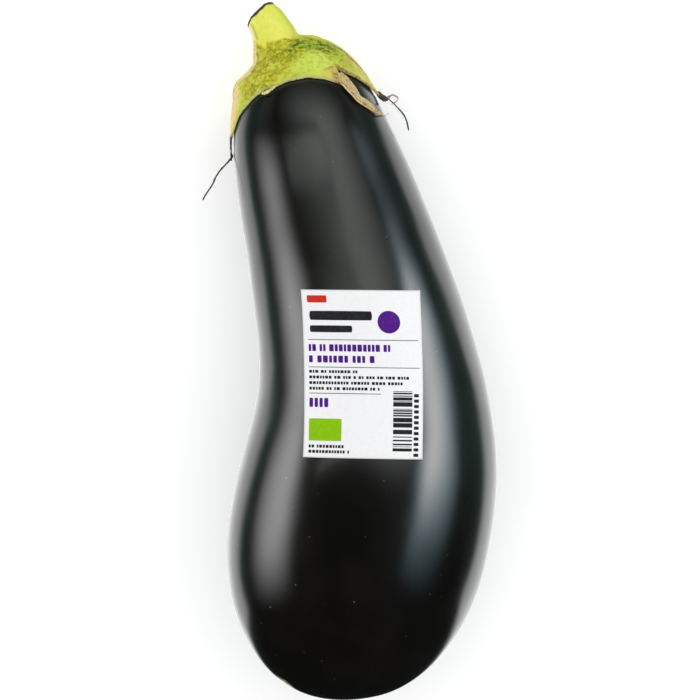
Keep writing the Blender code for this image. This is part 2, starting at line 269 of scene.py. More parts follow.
@dataclass(frozen=True)
class FreshCalyx(Finish):
    """Fleshy green sepals: matt, mottled with olive, and pale where they thin out to an edge."""

    ground: str = "#cdd044"
    lush: str = "#9fbf36"
    fair: str = "#cbdc58"
    stalk: str = "#e1e24c"
    olive: str = "#bab422"
    mottle: str = "#98980c"
    dots: str = "#716a06"
    # Painted shade: the dark green laid into the creases of the folded parts stands for the shade that falls
    # in them
    crease_shade: str = "#4f6c06"
    straw: str = "#bcb268"
    # Pale cream: a painted highlight on the left flank, where the light wraps round it, and the real dried
    # pale of the right lobe outside its seam
    pale: str = "#e8d28c"
    rim: str = "#d9d890"
    tan: str = "#c09a5e"
    brown: str = "#6b4a2e"
    clouds: Pattern = Pattern(2.4, 0.2, 0.55, 3.0, 4.0)
    coarse: Pattern = Pattern(2.2, 0.38, 0.6, 3.0, 2.0)
    fine: Pattern = Pattern(0.85, 0.45, 0.62, 4.0, 1.0)
    dotted: Pattern = Pattern(0.55, 0.6, 0.7, 3.0, 5.0)
    shaded_creases: Pattern = Pattern(0.75, 0.46, 0.6, 5.0, 3.0, (0.55, 1.0, 1.0))
    streaked: Pattern = Pattern(0.4, 0.46, 0.62, 3.0, 6.0, (1.0, 0.4, 0.7))
    broken: Pattern = Pattern(0.9, 0.36, 0.5, 3.0, 7.0)
    faint_mottle: float = 0.3
    faint_streaks: float = 0.45
    bump_strength: float = 0.7
    bump_height: float = 0.12 * MM
    roughness: float = 0.55
    specular: float = 0.2
    flesh: float = 0.12  # share of the light that goes through the flesh
    flesh_reach: tuple[float, float, float] = (0.6 * MM, 0.8 * MM, 0.2 * MM)  # how far, for each colour

    def make(self) -> Material:
        """Make the material.

        Returns:
            The material.
        """
        material, tree, shader = self.start()
        names = ("lush", "fair", "straw", "olive", "fleshy", "folded", "stalk", "pale", "edge", "dried",
                 "seam")
        at = {name: self.painted(tree, name) for name in names}
        drawn = (self.coarse, self.fine, self.streaked)
        coarse, fine, streaks = (self.patches(tree, pattern) for pattern in drawn)
        coats = [
            (self.lush, at["lush"], self.patches(tree, self.clouds)),
            (self.fair, at["fair"]),
            (self.straw, at["straw"], coarse),
            (self.olive, at["olive"], coarse),
            (self.mottle, at["olive"], fine),
            (self.mottle, at["fleshy"], fine, self.faint_mottle),
            (self.dots, at["olive"], self.patches(tree, self.dotted)),
            # Painted shade in the creases of the folded parts
            (self.crease_shade, at["folded"], self.patches(tree, self.shaded_creases)),
            (self.stalk, at["stalk"]),
            # Painted highlight on the left flank, and dried pale on the right lobe
            (self.pale, at["pale"]),
            (self.tan, at["pale"], streaks, self.faint_streaks),
            (self.rim, at["edge"]),
            (self.tan, at["dried"]),
            (self.brown, at["dried"], streaks),
            (self.brown, at["seam"], self.patches(tree, self.broken)),
        ]
        even = {"Roughness": self.roughness, "Specular IOR Level": self.specular,
                "Subsurface Weight": self.flesh, "Subsurface Radius": self.flesh_reach,
                "Subsurface Scale": 1.0}
        self.cover(tree, shader, self.ground, coats, even, (fine, self.bump_strength, self.bump_height))
        return material


@dataclass(frozen=True)
class CutStalk(Finish):
    """The stalk: smooth yellow-green rind, and a cut that has dried brown."""

    ground: str = "#e2e352"
    green: str = "#cfdb4e"
    shade: str = "#b4c846"
    # Painted highlight down the stalk's left side and along its right edge
    pale: str = "#ecd9a0"
    line: str = "#b0a04c"
    streak: str = "#cccd58"
    rim: str = "#3d2d1c"
    face: str = "#8d7448"
    greener: Pattern = Pattern(2.4, 0.5, 0.8, 3.0, 2.0)
    grain: Pattern = Pattern(0.5, 0.5, 0.72, 3.0, 1.0, (1.0, 0.35, 1.0))
    pith: Pattern = Pattern(0.5, 0.4, 0.6, 3.0, 3.0)
    faint_green: float = 0.6
    faint_grain: float = 0.4
    bump_strength: float = 0.5
    bump_height: float = 0.08 * MM
    roughness: float = 0.42
    dried_roughness: float = 0.85
    flesh: float = 0.15  # share of the light that goes through the flesh
    flesh_reach: tuple[float, float, float] = (0.8 * MM, 1.0 * MM, 0.2 * MM)  # how far, for each colour

    def make(self) -> Material:
        """Make the material.

        Returns:
            The material.
        """
        material, tree, shader = self.start()
        grain, cut = self.patches(tree, self.grain), self.painted(tree, "cut")
        coats = [
            (self.green, self.patches(tree, self.greener), self.faint_green),
            (self.streak, grain, self.faint_grain),
            (self.shade, self.painted(tree, "shaded")),
            (self.line, self.painted(tree, "line")),
            # Painted highlight at the stalk's sides
            (self.pale, self.painted(tree, "pale")),
            (self.rim, cut),
            (self.face, self.painted(tree, "face"), self.patches(tree, self.pith)),
        ]
        even = {"Subsurface Weight": self.flesh, "Subsurface Radius": self.flesh_reach,
                "Subsurface Scale": 1.0}
        self.cover(tree, shader, self.ground, coats, even, (grain, self.bump_strength, self.bump_height))
        values = {0: cut, 2: self.roughness, 3: self.dried_roughness}
        rough = add_node(tree, "ShaderNodeMix", values, data_type="FLOAT")[0]
        tree.links.new(rough, shader.inputs["Roughness"])
        return material


@dataclass(frozen=True)
class DriedSepal(Finish):
    """Dead plant tissue: papery and fibrous, tan with darker fibres along it."""

    ground: str = "#c9a878"
    fibre: str = "#80603c"
    tint: str = "#cbb868"
    roughness: float = 0.75
    stains: Pattern = Pattern(2.2, 0.45, 0.6, 2.0, 2.0)
    # Real fibres are about 0.05 mm wide: they are drawn this coarse to show in the picture
    fibres: Pattern = Pattern(0.35, 0.5, 0.66, 4.0, 1.0)
    bump_strength: float = 0.8
    bump_height: float = 0.1 * MM

    def make(self) -> Material:
        """Make the material.

        Returns:
            The material.
        """
        material, tree, shader = self.start()
        fibres = self.patches(tree, self.fibres)
        coats = [(self.tint, self.patches(tree, self.stains)), (self.fibre, fibres)]
        bumps = (fibres, self.bump_strength, self.bump_height)
        self.cover(tree, shader, self.ground, coats, {"Roughness": self.roughness}, bumps)
        return material


@dataclass(frozen=True)
class CoatedPaper(Finish):
    """White label paper with a thin coating: nearly flat, with a faint fibre under the coat."""

    ground: str = "#ededee"
    fibre: str = "#e9e9eb"
    # Painted shade: a grey band along the cut edge for the shade at the sheet's edge
    edge: str = "#cfcfd0"
    # Paper fibres are about 0.02 mm wide: they are drawn as coarse as they need to show
    fibres: Pattern = Pattern(0.6, 0.35, 0.7, 4.0, 1.0)
    bump_strength: float = 0.3
    bump_height: float = 0.01 * MM
    roughness: float = 0.65
    specular: float = 0.3

    def make(self) -> Material:
        """Make the material.

        Returns:
            The material.
        """
        material, tree, shader = self.start()
        fibres = self.patches(tree, self.fibres)
        # The edge coat is painted shade along the cut edge
        coats = [(self.fibre, fibres), (self.edge, self.painted(tree, "edge"))]
        even = {"Roughness": self.roughness, "Specular IOR Level": self.specular}
        self.cover(tree, shader, self.ground, coats, even, (fibres, self.bump_strength, self.bump_height))
        return material


@dataclass(frozen=True)
class PrintInk(Finish):
    """Ink printed on the paper: a thin even film with the slightest unevenness of the press."""

    colour: str
    thin: str
    roughness: float = 0.65
    specular: float = 0.06
    uneven: Pattern = Pattern(0.7, 0.4, 0.7, 3.0, 1.0)

    def make(self) -> Material:
        """Make the material.

        Returns:
            The material.
        """
        material, tree, shader = self.start()
        even = {"Roughness": self.roughness, "Specular IOR Level": self.specular}
        self.cover(tree, shader, self.colour, [(self.thin, self.patches(tree, self.uneven))], even)
        return material


class Ink(Enum):
    """The label's inks."""

    DARK = PrintInk("dark printing ink", "#1d1d1f", "#29292c")
    PURPLE = PrintInk("purple printing ink", "#4b0f7d", "#571c88")
    GREY = PrintInk("grey printing ink", "#6b686e", "#77747a")
    GREEN = PrintInk("green printing ink", "#83b900", "#8ac208")
    RED = PrintInk("red printing ink", "#c4291d", "#cb362a")


@dataclass(frozen=True)
class LightTable(Finish):
    """A white photographer's table, lit from below under the object.

    The eye sees it white all over. Glossy things mirror it bright where it is lit and dim beyond.
    """

    ground: str = "#f2f3f3"
    cloud: str = "#eeefef"
    clouds: Pattern = Pattern(60.0, 0.3, 0.7, 2.0, 1.0)
    roughness: float = 0.7
    beyond: str = "#62988a"
    behind: str = "#151c1a"  # towards -Y, where no light stands
    behind_until: float = -120.0 * MM
    beyond_from: float = 20.0 * MM
    glow: float = 1.95
    beyond_glow: float = 0.64
    seen_glow: float = 0.3
    lit_half_width: float = 80.0 * MM
    lit_from: float = -81.0 * MM
    lit_to: float = 75.0 * MM
    edge: float = 24.0 * MM
    near_edge: float = 9.6 * MM

    def make(self) -> Material:
        """Make the material.

        Returns:
            The material.
        """
        material, tree, shader = self.start()
        even = {"Roughness": self.roughness, "Emission Color": (1.0, 1.0, 1.0, 1.0),
                "Emission Strength": self.seen_glow}
        self.cover(tree, shader, self.ground, [(self.cloud, self.patches(tree, self.clouds))], even)
        here = add_node(tree, "ShaderNodeTexCoord")["Object"]
        x, y, _ = add_node(tree, "ShaderNodeSeparateXYZ", {0: here})
        aside = add_node(tree, "ShaderNodeMath", {0: x}, operation="ABSOLUTE")[0]
        lit = self.faded(tree, 1.0, [
            (aside, self.lit_half_width + self.edge, self.lit_half_width),
            (y, self.lit_from - self.near_edge, self.lit_from),
            (y, self.lit_to + self.edge, self.lit_to),
        ])
        near = {"Value": y, "From Min": self.behind_until, "From Max": self.beyond_from}
        far = add_node(tree, "ShaderNodeMapRange", near, interpolation_type="SMOOTHSTEP")[0]
        values = {0: far, 6: linear(self.behind), 7: linear(self.beyond)}
        unlit = add_node(tree, "ShaderNodeMix", values, data_type="RGBA")[2]
        values = {0: lit, 6: unlit, 7: linear(self.ground)}
        colour = add_node(tree, "ShaderNodeMix", values, data_type="RGBA")[2]
        values = {"Value": lit, "To Min": self.beyond_glow, "To Max": self.glow}
        bright = add_node(tree, "ShaderNodeMapRange", values)[0]
        mirrored = add_node(tree, "ShaderNodeEmission", {"Color": colour, "Strength": bright})[0]
        glossy = add_node(tree, "ShaderNodeLightPath")["Is Glossy Ray"]
        values = {0: glossy, 1: shader.outputs[0], 2: mirrored}
        shown = add_node(tree, "ShaderNodeMixShader", values)[0]
        tree.links.new(shown, tree.nodes["Material Output"].inputs["Surface"])
        return material


@dataclass(frozen=True)
class Diffuser(Finish):
    """The white cloth of a softbox: it glows, fades at its edges and is weaker towards one end."""

    colour: str
    fading: str  # colour of what light is left where it fades
    radiance: float
    weak_share: float  # share of the radiance that is left at the weak end

    def dress(self, half: tuple[float, float], edges: tuple[tuple[float, float], tuple[float, float]],
              weak_end: tuple[float, float]) -> Material:
        """Make the material.

        Args:
            half: Half the cloth's width and half its height.
            edges: How wide the fading edges are at its left and right, and at its bottom and top.
            weak_end: Which way across the cloth its light grows weaker.

        Returns:
            The material.
        """
        material, tree, shader = self.start()
        here = add_node(tree, "ShaderNodeTexCoord")["Object"]
        axes = add_node(tree, "ShaderNodeSeparateXYZ", {0: here})
        values = {0: here, 1: (*weak_end, 0.0)}
        along = add_node(tree, "ShaderNodeVectorMath", values, operation="DOT_PRODUCT")["Value"]
        reach = abs(weak_end[0]) * half[0] + abs(weak_end[1]) * half[1] + MM
        fall = {"Value": along, "From Min": -reach, "From Max": reach, "To Min": 1.0,
                "To Max": self.weak_share}
        ramps = [ramp for axis, size, (low, high) in zip(axes, half, edges)
                 for ramp in ((axis, -size, low - size), (axis, size, size - high))]
        lit = self.faded(tree, add_node(tree, "ShaderNodeMapRange", fall)[0], ramps)
        values = {0: lit, 1: self.radiance}
        strength = add_node(tree, "ShaderNodeMath", values, operation="MULTIPLY")[0]
        values = {0: lit, 6: linear(self.fading), 7: linear(self.colour)}
        tint = add_node(tree, "ShaderNodeMix", values, data_type="RGBA")[2]
        tree.links.new(tint, shader.inputs["Emission Color"])
        tree.links.new(strength, shader.inputs["Emission Strength"])
        shader.inputs["Base Color"].default_value = (0.0, 0.0, 0.0, 1.0)
        shader.inputs["Specular IOR Level"].default_value = 0.0
        return material


# Geometry trees


def start_tree(title: str, inputs: dict[str, str]) -> tuple[Tree, Outputs, Node]:
    """Start a geometry tree.

    Args:
        title: The tree's name.
        inputs: Each input's name and kind, after the geometry itself.

    Returns:
        The tree, what it is given, and the node for its result.
    """
    tree = bpy.data.node_groups.new(title, "GeometryNodeTree")
    for name, kind in {"Geometry": "Geometry", **inputs, "Material": "Material"}.items():
        tree.interface.new_socket(name, in_out="INPUT", socket_type=f"NodeSocket{kind}")
    tree.interface.new_socket("Geometry", in_out="OUTPUT", socket_type="NodeSocketGeometry")
    return tree, add_node(tree, "NodeGroupInput"), tree.nodes.new("NodeGroupOutput")


def end_tree(tree: Tree, shape: Socket, given: Outputs, result: Node) -> None:
    """End a tree: smooth shading, real geometry and the material.

    Args:
        tree: The tree.
        shape: The geometry that it has made.
        given: What it is given.
        result: The node for its result.
    """
    rounded = add_node(tree, "GeometryNodeSetShadeSmooth", {"Geometry": shape})[0]
    real = add_node(tree, "GeometryNodeRealizeInstances", {"Geometry": rounded})[0]
    values = {"Geometry": real, "Material": given["Material"]}
    dressed = add_node(tree, "GeometryNodeSetMaterial", values)[0]
    tree.links.new(dressed, result.inputs[0])


def loft_tree() -> Tree:
    """A skin over ovals: a guide point is an oval's middle, and it carries the oval's two half axes.

    Returns:
        The tree.
    """
    tree, given, result = start_tree("Loft along guides", {"Sides": "Int", "Surface": "Float"})
    guides = given["Geometry"]
    size = {"Geometry": guides}
    count = add_node(tree, "GeometryNodeAttributeDomainSize", size, component="MESH")["Point Count"]
    wide = add_node(tree, "ShaderNodeMath", {0: given["Sides"], 1: 1.0}, operation="ADD")[0]
    values = {"Size X": 1.0, "Size Y": 1.0, "Vertices X": wide, "Vertices Y": count}
    grid = add_node(tree, "GeometryNodeMeshGrid", values)["Mesh"]
    here = add_node(tree, "GeometryNodeInputPosition")[0]
    flat = add_node(tree, "ShaderNodeSeparateXYZ", {0: here})
    turn = add_node(tree, "ShaderNodeMath", {0: flat["X"], 1: FULL_TURN, 2: math.pi},
                    operation="MULTIPLY_ADD")[0]
    share = add_node(tree, "ShaderNodeMath", {0: flat["Y"], 1: 0.5}, operation="ADD")[0]
    last = add_node(tree, "ShaderNodeMath", {0: count, 1: 1.0}, operation="SUBTRACT")[0]
    exact = add_node(tree, "ShaderNodeMath", {0: share, 1: last}, operation="MULTIPLY")[0]
    row = add_node(tree, "ShaderNodeMath", {0: exact}, operation="ROUND")[0]
    for name, value in {"turn": turn, "row": row}.items():
        stored = {"Geometry": grid, "Name": name, "Value": value}
        grid = add_node(tree, "GeometryNodeStoreNamedAttribute", stored, data_type="FLOAT")[0]
    spot = None
    for name, wave in (("middle", None), ("across", "COSINE"), ("rise", "SINE")):
        carried = add_node(tree, "GeometryNodeInputNamedAttribute", {"Name": name}, data_type="FLOAT_VECTOR")
        sample = {"Geometry": guides, "Value": carried["Attribute"], "Index": row}
        part = add_node(tree, "GeometryNodeSampleIndex", sample, data_type="FLOAT_VECTOR")[0]
        if wave is None:
            spot = part
            continue
        amount = add_node(tree, "ShaderNodeMath", {0: turn}, operation=wave)[0]
        values = {0: part, "Scale": amount}
        scaled = add_node(tree, "ShaderNodeVectorMath", values, operation="SCALE")[0]
        spot = add_node(tree, "ShaderNodeVectorMath", {0: spot, 1: scaled}, operation="ADD")[0]
    skin = add_node(tree, "GeometryNodeSetPosition", {"Geometry": grid, "Position": spot})[0]
    placed = add_node(tree, "ShaderNodeSeparateXYZ", {0: here})
    level = given["Surface"]
    above = add_node(tree, "ShaderNodeMath", {0: placed["Z"], 1: level}, operation="SUBTRACT")[0]
    clear = {"Value": above, "From Min": RELIEF_FROM, "From Max": RELIEF_WHOLE}
    raised = add_node(tree, "ShaderNodeMapRange", clear, interpolation_type="SMOOTHSTEP")[0]
    stored = {"Geometry": skin, "Name": "raised", "Value": raised}
    skin = add_node(tree, "GeometryNodeStoreNamedAttribute", stored, data_type="FLOAT")[0]
    height = add_node(tree, "ShaderNodeMath", {0: placed["Z"], 1: level}, operation="MAXIMUM")[0]
    values = {"X": placed["X"], "Y": placed["Y"], "Z": height}
    pressed = add_node(tree, "ShaderNodeCombineXYZ", values)[0]
    skin = add_node(tree, "GeometryNodeSetPosition", {"Geometry": skin, "Position": pressed})[0]
    values = {"Geometry": skin, "Distance": MERGE_DISTANCE}
    closed = add_node(tree, "GeometryNodeMergeByDistance", values)[0]
    end_tree(tree, closed, given, result)
    return tree


def relief_tree() -> Tree:
    """Low relief on a surface: noise moves it along its normals, as far as a painted weight says.

    Returns:
        The tree.
    """
    inputs = {"Height": "Float", "Size": "Float", "Stretch": "Vector", "Detail": "Float",
              "Ridged": "Float", "Seed": "Float", "Weight": "String"}
    tree, given, result = start_tree("Surface relief", inputs)
    here = add_node(tree, "GeometryNodeInputPosition")[0]
    drawn = {0: here, 1: given["Stretch"]}
    place = add_node(tree, "ShaderNodeVectorMath", drawn, operation="MULTIPLY")[0]
    values = {0: 1.0, 1: given["Size"]}
    scale = add_node(tree, "ShaderNodeMath", values, operation="DIVIDE")[0]
    values = {"Vector": place, "W": given["Seed"], "Scale": scale, "Detail": given["Detail"]}
    noise = add_node(tree, "ShaderNodeTexNoise", values, noise_dimensions="4D")[0]
    swell = add_node(tree, "ShaderNodeMath", {0: noise, 1: 2.0, 2: -1.0}, operation="MULTIPLY_ADD")[0]
    crease = add_node(tree, "ShaderNodeMath", {0: swell}, operation="ABSOLUTE")[0]
    values = {0: crease, 1: -3.0, 2: 0.5}
    ridge = add_node(tree, "ShaderNodeMath", values, operation="MULTIPLY_ADD")[0]
    blend = {0: given["Ridged"], 2: swell, 3: ridge}
    form = add_node(tree, "ShaderNodeMix", blend, data_type="FLOAT")[0]
    named = {"Name": given["Weight"]}
    weight = add_node(tree, "GeometryNodeInputNamedAttribute", named, data_type="FLOAT")["Attribute"]
    values = {0: form, 1: given["Height"]}
    deep = add_node(tree, "ShaderNodeMath", values, operation="MULTIPLY")[0]
    eased = add_node(tree, "ShaderNodeMath", {0: deep, 1: weight}, operation="MULTIPLY")[0]
    normal = add_node(tree, "GeometryNodeInputNormal")[0]
    offset = add_node(tree, "ShaderNodeVectorMath", {0: normal, "Scale": eased}, operation="SCALE")[0]
    values = {"Geometry": given["Geometry"], "Offset": offset}
    end_tree(tree, add_node(tree, "GeometryNodeSetPosition", values)[0], given, result)
    return tree


def print_tree() -> Tree:
    """Marks printed on a sheet: a rounded patch at each guide point, laid on the curved sheet.

    Returns:
        The tree.
    """
    inputs = {"Sheet": "Object", "Sheet Size": "Vector", "Cells Across": "Int", "Cells Up": "Int"}
    tree, given, result = start_tree("Marks on a sheet", inputs)
    cells = {"Size X": 2.0, "Size Y": 2.0, "Vertices X": given["Cells Across"],
             "Vertices Y": given["Cells Up"]}
    patch = add_node(tree, "GeometryNodeMeshGrid", cells)["Mesh"]
    here = add_node(tree, "GeometryNodeInputPosition")[0]
    stored = {"Geometry": patch, "Name": "cell", "Value": here}
    patch = add_node(tree, "GeometryNodeStoreNamedAttribute", stored, data_type="FLOAT_VECTOR")[0]
    spread = {"Points": given["Geometry"], "Instance": patch, "Scale": (0.0, 0.0, 0.0)}
    patches = add_node(tree, "GeometryNodeInstanceOnPoints", spread)[0]
    patches = add_node(tree, "GeometryNodeRealizeInstances", {"Geometry": patches})[0]
    cell, half, source, roundness = (
        add_node(tree, "GeometryNodeInputNamedAttribute", {"Name": name}, data_type=kind)[0]
        for name, kind in (("cell", "FLOAT_VECTOR"), ("half", "FLOAT_VECTOR"), ("sheet", "FLOAT_VECTOR"),
                           ("roundness", "FLOAT")))
    side, up, _ = add_node(tree, "ShaderNodeSeparateXYZ", {0: cell})
    pulled = []
    for one, other in ((side, up), (up, side)):
        square = add_node(tree, "ShaderNodeMath", {0: other, 1: other}, operation="MULTIPLY")[0]
        bent = add_node(tree, "ShaderNodeMath", {0: square, 1: roundness}, operation="MULTIPLY")[0]
        values = {0: bent, 1: -0.5, 2: 1.0}
        left = add_node(tree, "ShaderNodeMath", values, operation="MULTIPLY_ADD")[0]
        root = add_node(tree, "ShaderNodeMath", {0: left}, operation="SQRT")[0]
        pulled.append(add_node(tree, "ShaderNodeMath", {0: one, 1: root}, operation="MULTIPLY")[0])
    shape = add_node(tree, "ShaderNodeCombineXYZ", {"X": pulled[0], "Y": pulled[1]})[0]
    sized = add_node(tree, "ShaderNodeVectorMath", {0: shape, 1: half}, operation="MULTIPLY")[0]
    spot = add_node(tree, "ShaderNodeVectorMath", {0: here, 1: sized}, operation="ADD")[0]
    flat = {0: spot, 1: given["Sheet Size"]}
    where = add_node(tree, "ShaderNodeVectorMath", flat, operation="DIVIDE")[0]
    sheet = add_node(tree, "GeometryNodeObjectInfo", {"Object": given["Sheet"]})["Geometry"]
    sampled = {"Mesh": sheet, "Value": here, "Source UV Map": source, "Sample UV": where}
    laid = add_node(tree, "GeometryNodeSampleUVSurface", sampled, data_type="FLOAT_VECTOR")[0]
    placed = add_node(tree, "GeometryNodeSetPosition", {"Geometry": patches, "Position": laid})[0]
    end_tree(tree, placed, given, result)
    return tree


class Relief(NamedTuple):
    """Low relief made with noise.

    Its height and size are in mm. A stretch below 1 draws it out along its axis, detail counts its
    finer layers, ridged is how much of it is creases, seed picks the noise, and weight names the
    painted value that it follows.
    """

    height: float
    size: float
    stretch: tuple[float, float, float]
    detail: float
    ridged: float
    seed: float
    weight: str = "raised"

    def inputs(self, finish: Material) -> dict:
        """The values of its tree's inputs, by name."""
        return {"Height": self.height * MM, "Size": self.size * MM, "Stretch": self.stretch,
                "Detail": self.detail, "Ridged": self.ridged, "Seed": self.seed, "Weight": self.weight,
                "Material": finish}


class Workshop:
    """The geometry trees, made once, and the steps that turn guides into finished pieces."""

    def __init__(self) -> None:
        """Build the trees."""
        self.loft = loft_tree()
        self.relief = relief_tree()
        self.marks = print_tree()

    @staticmethod
    def guides(name: str, points: Array, attributes: dict[str, Array]) -> Object:
        """Make an object of loose points that carry values.

        Args:
            name: The object's name.
            points: The points, in metres.
            attributes: Numbers or vectors for the points, by name.

        Returns:
            The object, linked to the scene.
        """
        mesh = bpy.data.meshes.new(name)
        mesh.from_pydata(np.asarray(points).tolist(), [], [])
        paint(mesh, attributes)
        return link(name, mesh)

    @staticmethod
    def run(name: str, source: Object, steps: list[tuple[Tree, dict]]) -> Object:
        """Run trees on an object and keep what they make as a plain mesh.

        Args:
            name: The finished piece's name.
            source: The object that the trees work on, which is removed.
            steps: Each tree with the values of its inputs, by name.

        Returns:
            The finished piece.
        """
        for tree, values in steps:
            modifier = source.modifiers.new(tree.name, "NODES")
            modifier.node_group = tree
            for item in tree.interface.items_tree:
                if item.in_out == "INPUT" and item.name in values:
                    modifier[item.identifier] = values[item.name]
        return settled(name, source)

    def lofted(self, name: str, middles: Array, across: Array, rise: Array, sides: int,
               finish: Material, reliefs: tuple[Relief, ...],
               surface: float = UNDER_EVERYTHING) -> Object:
        """Loft a closed skin over ovals and give it relief.

        Args:
            name: The piece's name.
            middles: The ovals' middles.
            across: Their half axes at turn 0.
            rise: Their half axes at turn 90.
            sides: Columns round the piece.
            finish: Its material.
            reliefs: The reliefs that are laid on it.
            surface: Height that nothing goes below.

        Returns:
            The finished piece.
        """
        source = self.guides(name + "_guides", middles, {"middle": middles, "across": across, "rise": rise})
        steps = [(self.loft, {"Sides": sides, "Surface": surface, "Material": finish})]
        steps += [(self.relief, relief.inputs(finish)) for relief in reliefs]
        return facing_out(self.run(name, source, steps))


def link(name: str, mesh: Mesh) -> Object:
    """Make an object of a mesh and show it in the scene."""
    made = bpy.data.objects.new(name, mesh)
    bpy.context.scene.collection.objects.link(made)
    return made


def settled(name: str, source: Object) -> Object:
    """Keep what an object's modifiers make as a plain mesh.

    Args:
        name: The finished piece's name.
        source: The object, which is removed.

    Returns:
        The finished piece.
    """
    graph = bpy.context.evaluated_depsgraph_get()
    seen = source.evaluated_get(graph)
    mesh = bpy.data.meshes.new_from_object(seen, preserve_all_data_layers=True, depsgraph=graph)
    source.modifiers.clear()
    bpy.data.objects.remove(source)
    mesh.name = name
    return link(name, mesh)


def paint(mesh: Mesh, attributes: dict[str, Array]) -> None:
    """Give a mesh's vertices numbers or vectors.

    Args:
        mesh: The mesh.
        attributes: A number or vector for each vertex, by name.
    """
    for title, values in attributes.items():
        values = np.asarray(values, dtype=np.float32)
        vectors = values.ndim > 1 and values.shape[-1] == 3
        layer = mesh.attributes.new(title, "FLOAT_VECTOR" if vectors else "FLOAT", "POINT")
        layer.data.foreach_set("vector" if vectors else "value", values.ravel())


def read(mesh: Mesh, title: str) -> Array:
    """Read a number that each of a mesh's vertices carries."""
    values = np.empty(len(mesh.vertices), dtype=np.float32)
    mesh.attributes[title].data.foreach_get("value", values)
    return values


def places(mesh: Mesh) -> Array:
    """Read where a mesh's vertices are."""
    values = np.empty(3 * len(mesh.vertices), dtype=np.float32)
    mesh.vertices.foreach_get("co", values)
    return values.reshape(-1, 3)


def facing_out(piece: Object) -> Object:
    """Make a closed piece's faces point out of it.

    Args:
        piece: The piece.

    Returns:
        The same piece.
    """
    mesh = bmesh.new()
    mesh.from_mesh(piece.data)
    bmesh.ops.recalc_face_normals(mesh, faces=mesh.faces)
    mesh.to_mesh(piece.data)
    mesh.free()
    return piece


def hand_over(piece: Object, slot: str, *nodes: str) -> None:
    """Fix a finished piece to the frame and report it.

    Args:
        piece: The piece.
        slot: Its material slot; not used.
        nodes: The nodes of the plain model that it stands for.
    """
    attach(piece, "root")
    if nodes:
        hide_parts(*nodes)
    LOG.info("%s: %d vertices, %d faces", piece.name, len(piece.data.vertices), len(piece.data.polygons))


# The fruit's own form


class Section(NamedTuple):
    """A round section through the fruit or stem: centre, radius and lean, in mm and degrees."""

    x: float
    y: float
    z: float
    radius: float
    lean: float

    def centre(self) -> Array:
        """Middle of the section, in metres."""
        return np.array((self.x, self.y, self.z)) * MM

    def across(self) -> Array:
        """The section's half axis at turn 0, in metres."""
        lean = math.radians(self.lean)
        return np.array((math.cos(lean), math.sin(lean), 0.0)) * self.radius * MM

    def rise(self) -> Array:
        """The section's half axis at turn 90, in metres."""
        return np.array((0.0, 0.0, self.radius * MM))

    def facing(self) -> Array:
        """Direction in which the section faces, towards the end of the stem."""
        lean = math.radians(self.lean)
        return np.array((-math.sin(lean), math.cos(lean), 0.0))


def through(knots: Array, steps: int) -> Array:
    """Draw a smooth curve through knots.

    Args:
        knots: The knots, as rows of any numbers.
        steps: How many steps lead from each knot to the next.

    Returns:
        The curve's rows.
    """
    knots = np.asarray(knots, dtype=float)
    knots = np.concatenate((knots[:1], knots, knots[-1:]))
    rows = []
    for before, first, last, after in zip(knots, knots[1:], knots[2:], knots[3:]):
        for part in np.arange(steps) / steps:
            bend = (2.0 * before - 5.0 * first + 4.0 * last - after) * part
            twist = (3.0 * (first - last) + after - before) * part**2
            rows.append(first + 0.5 * part * (last - before + bend + twist))
    return np.array([*rows, knots[-1]])


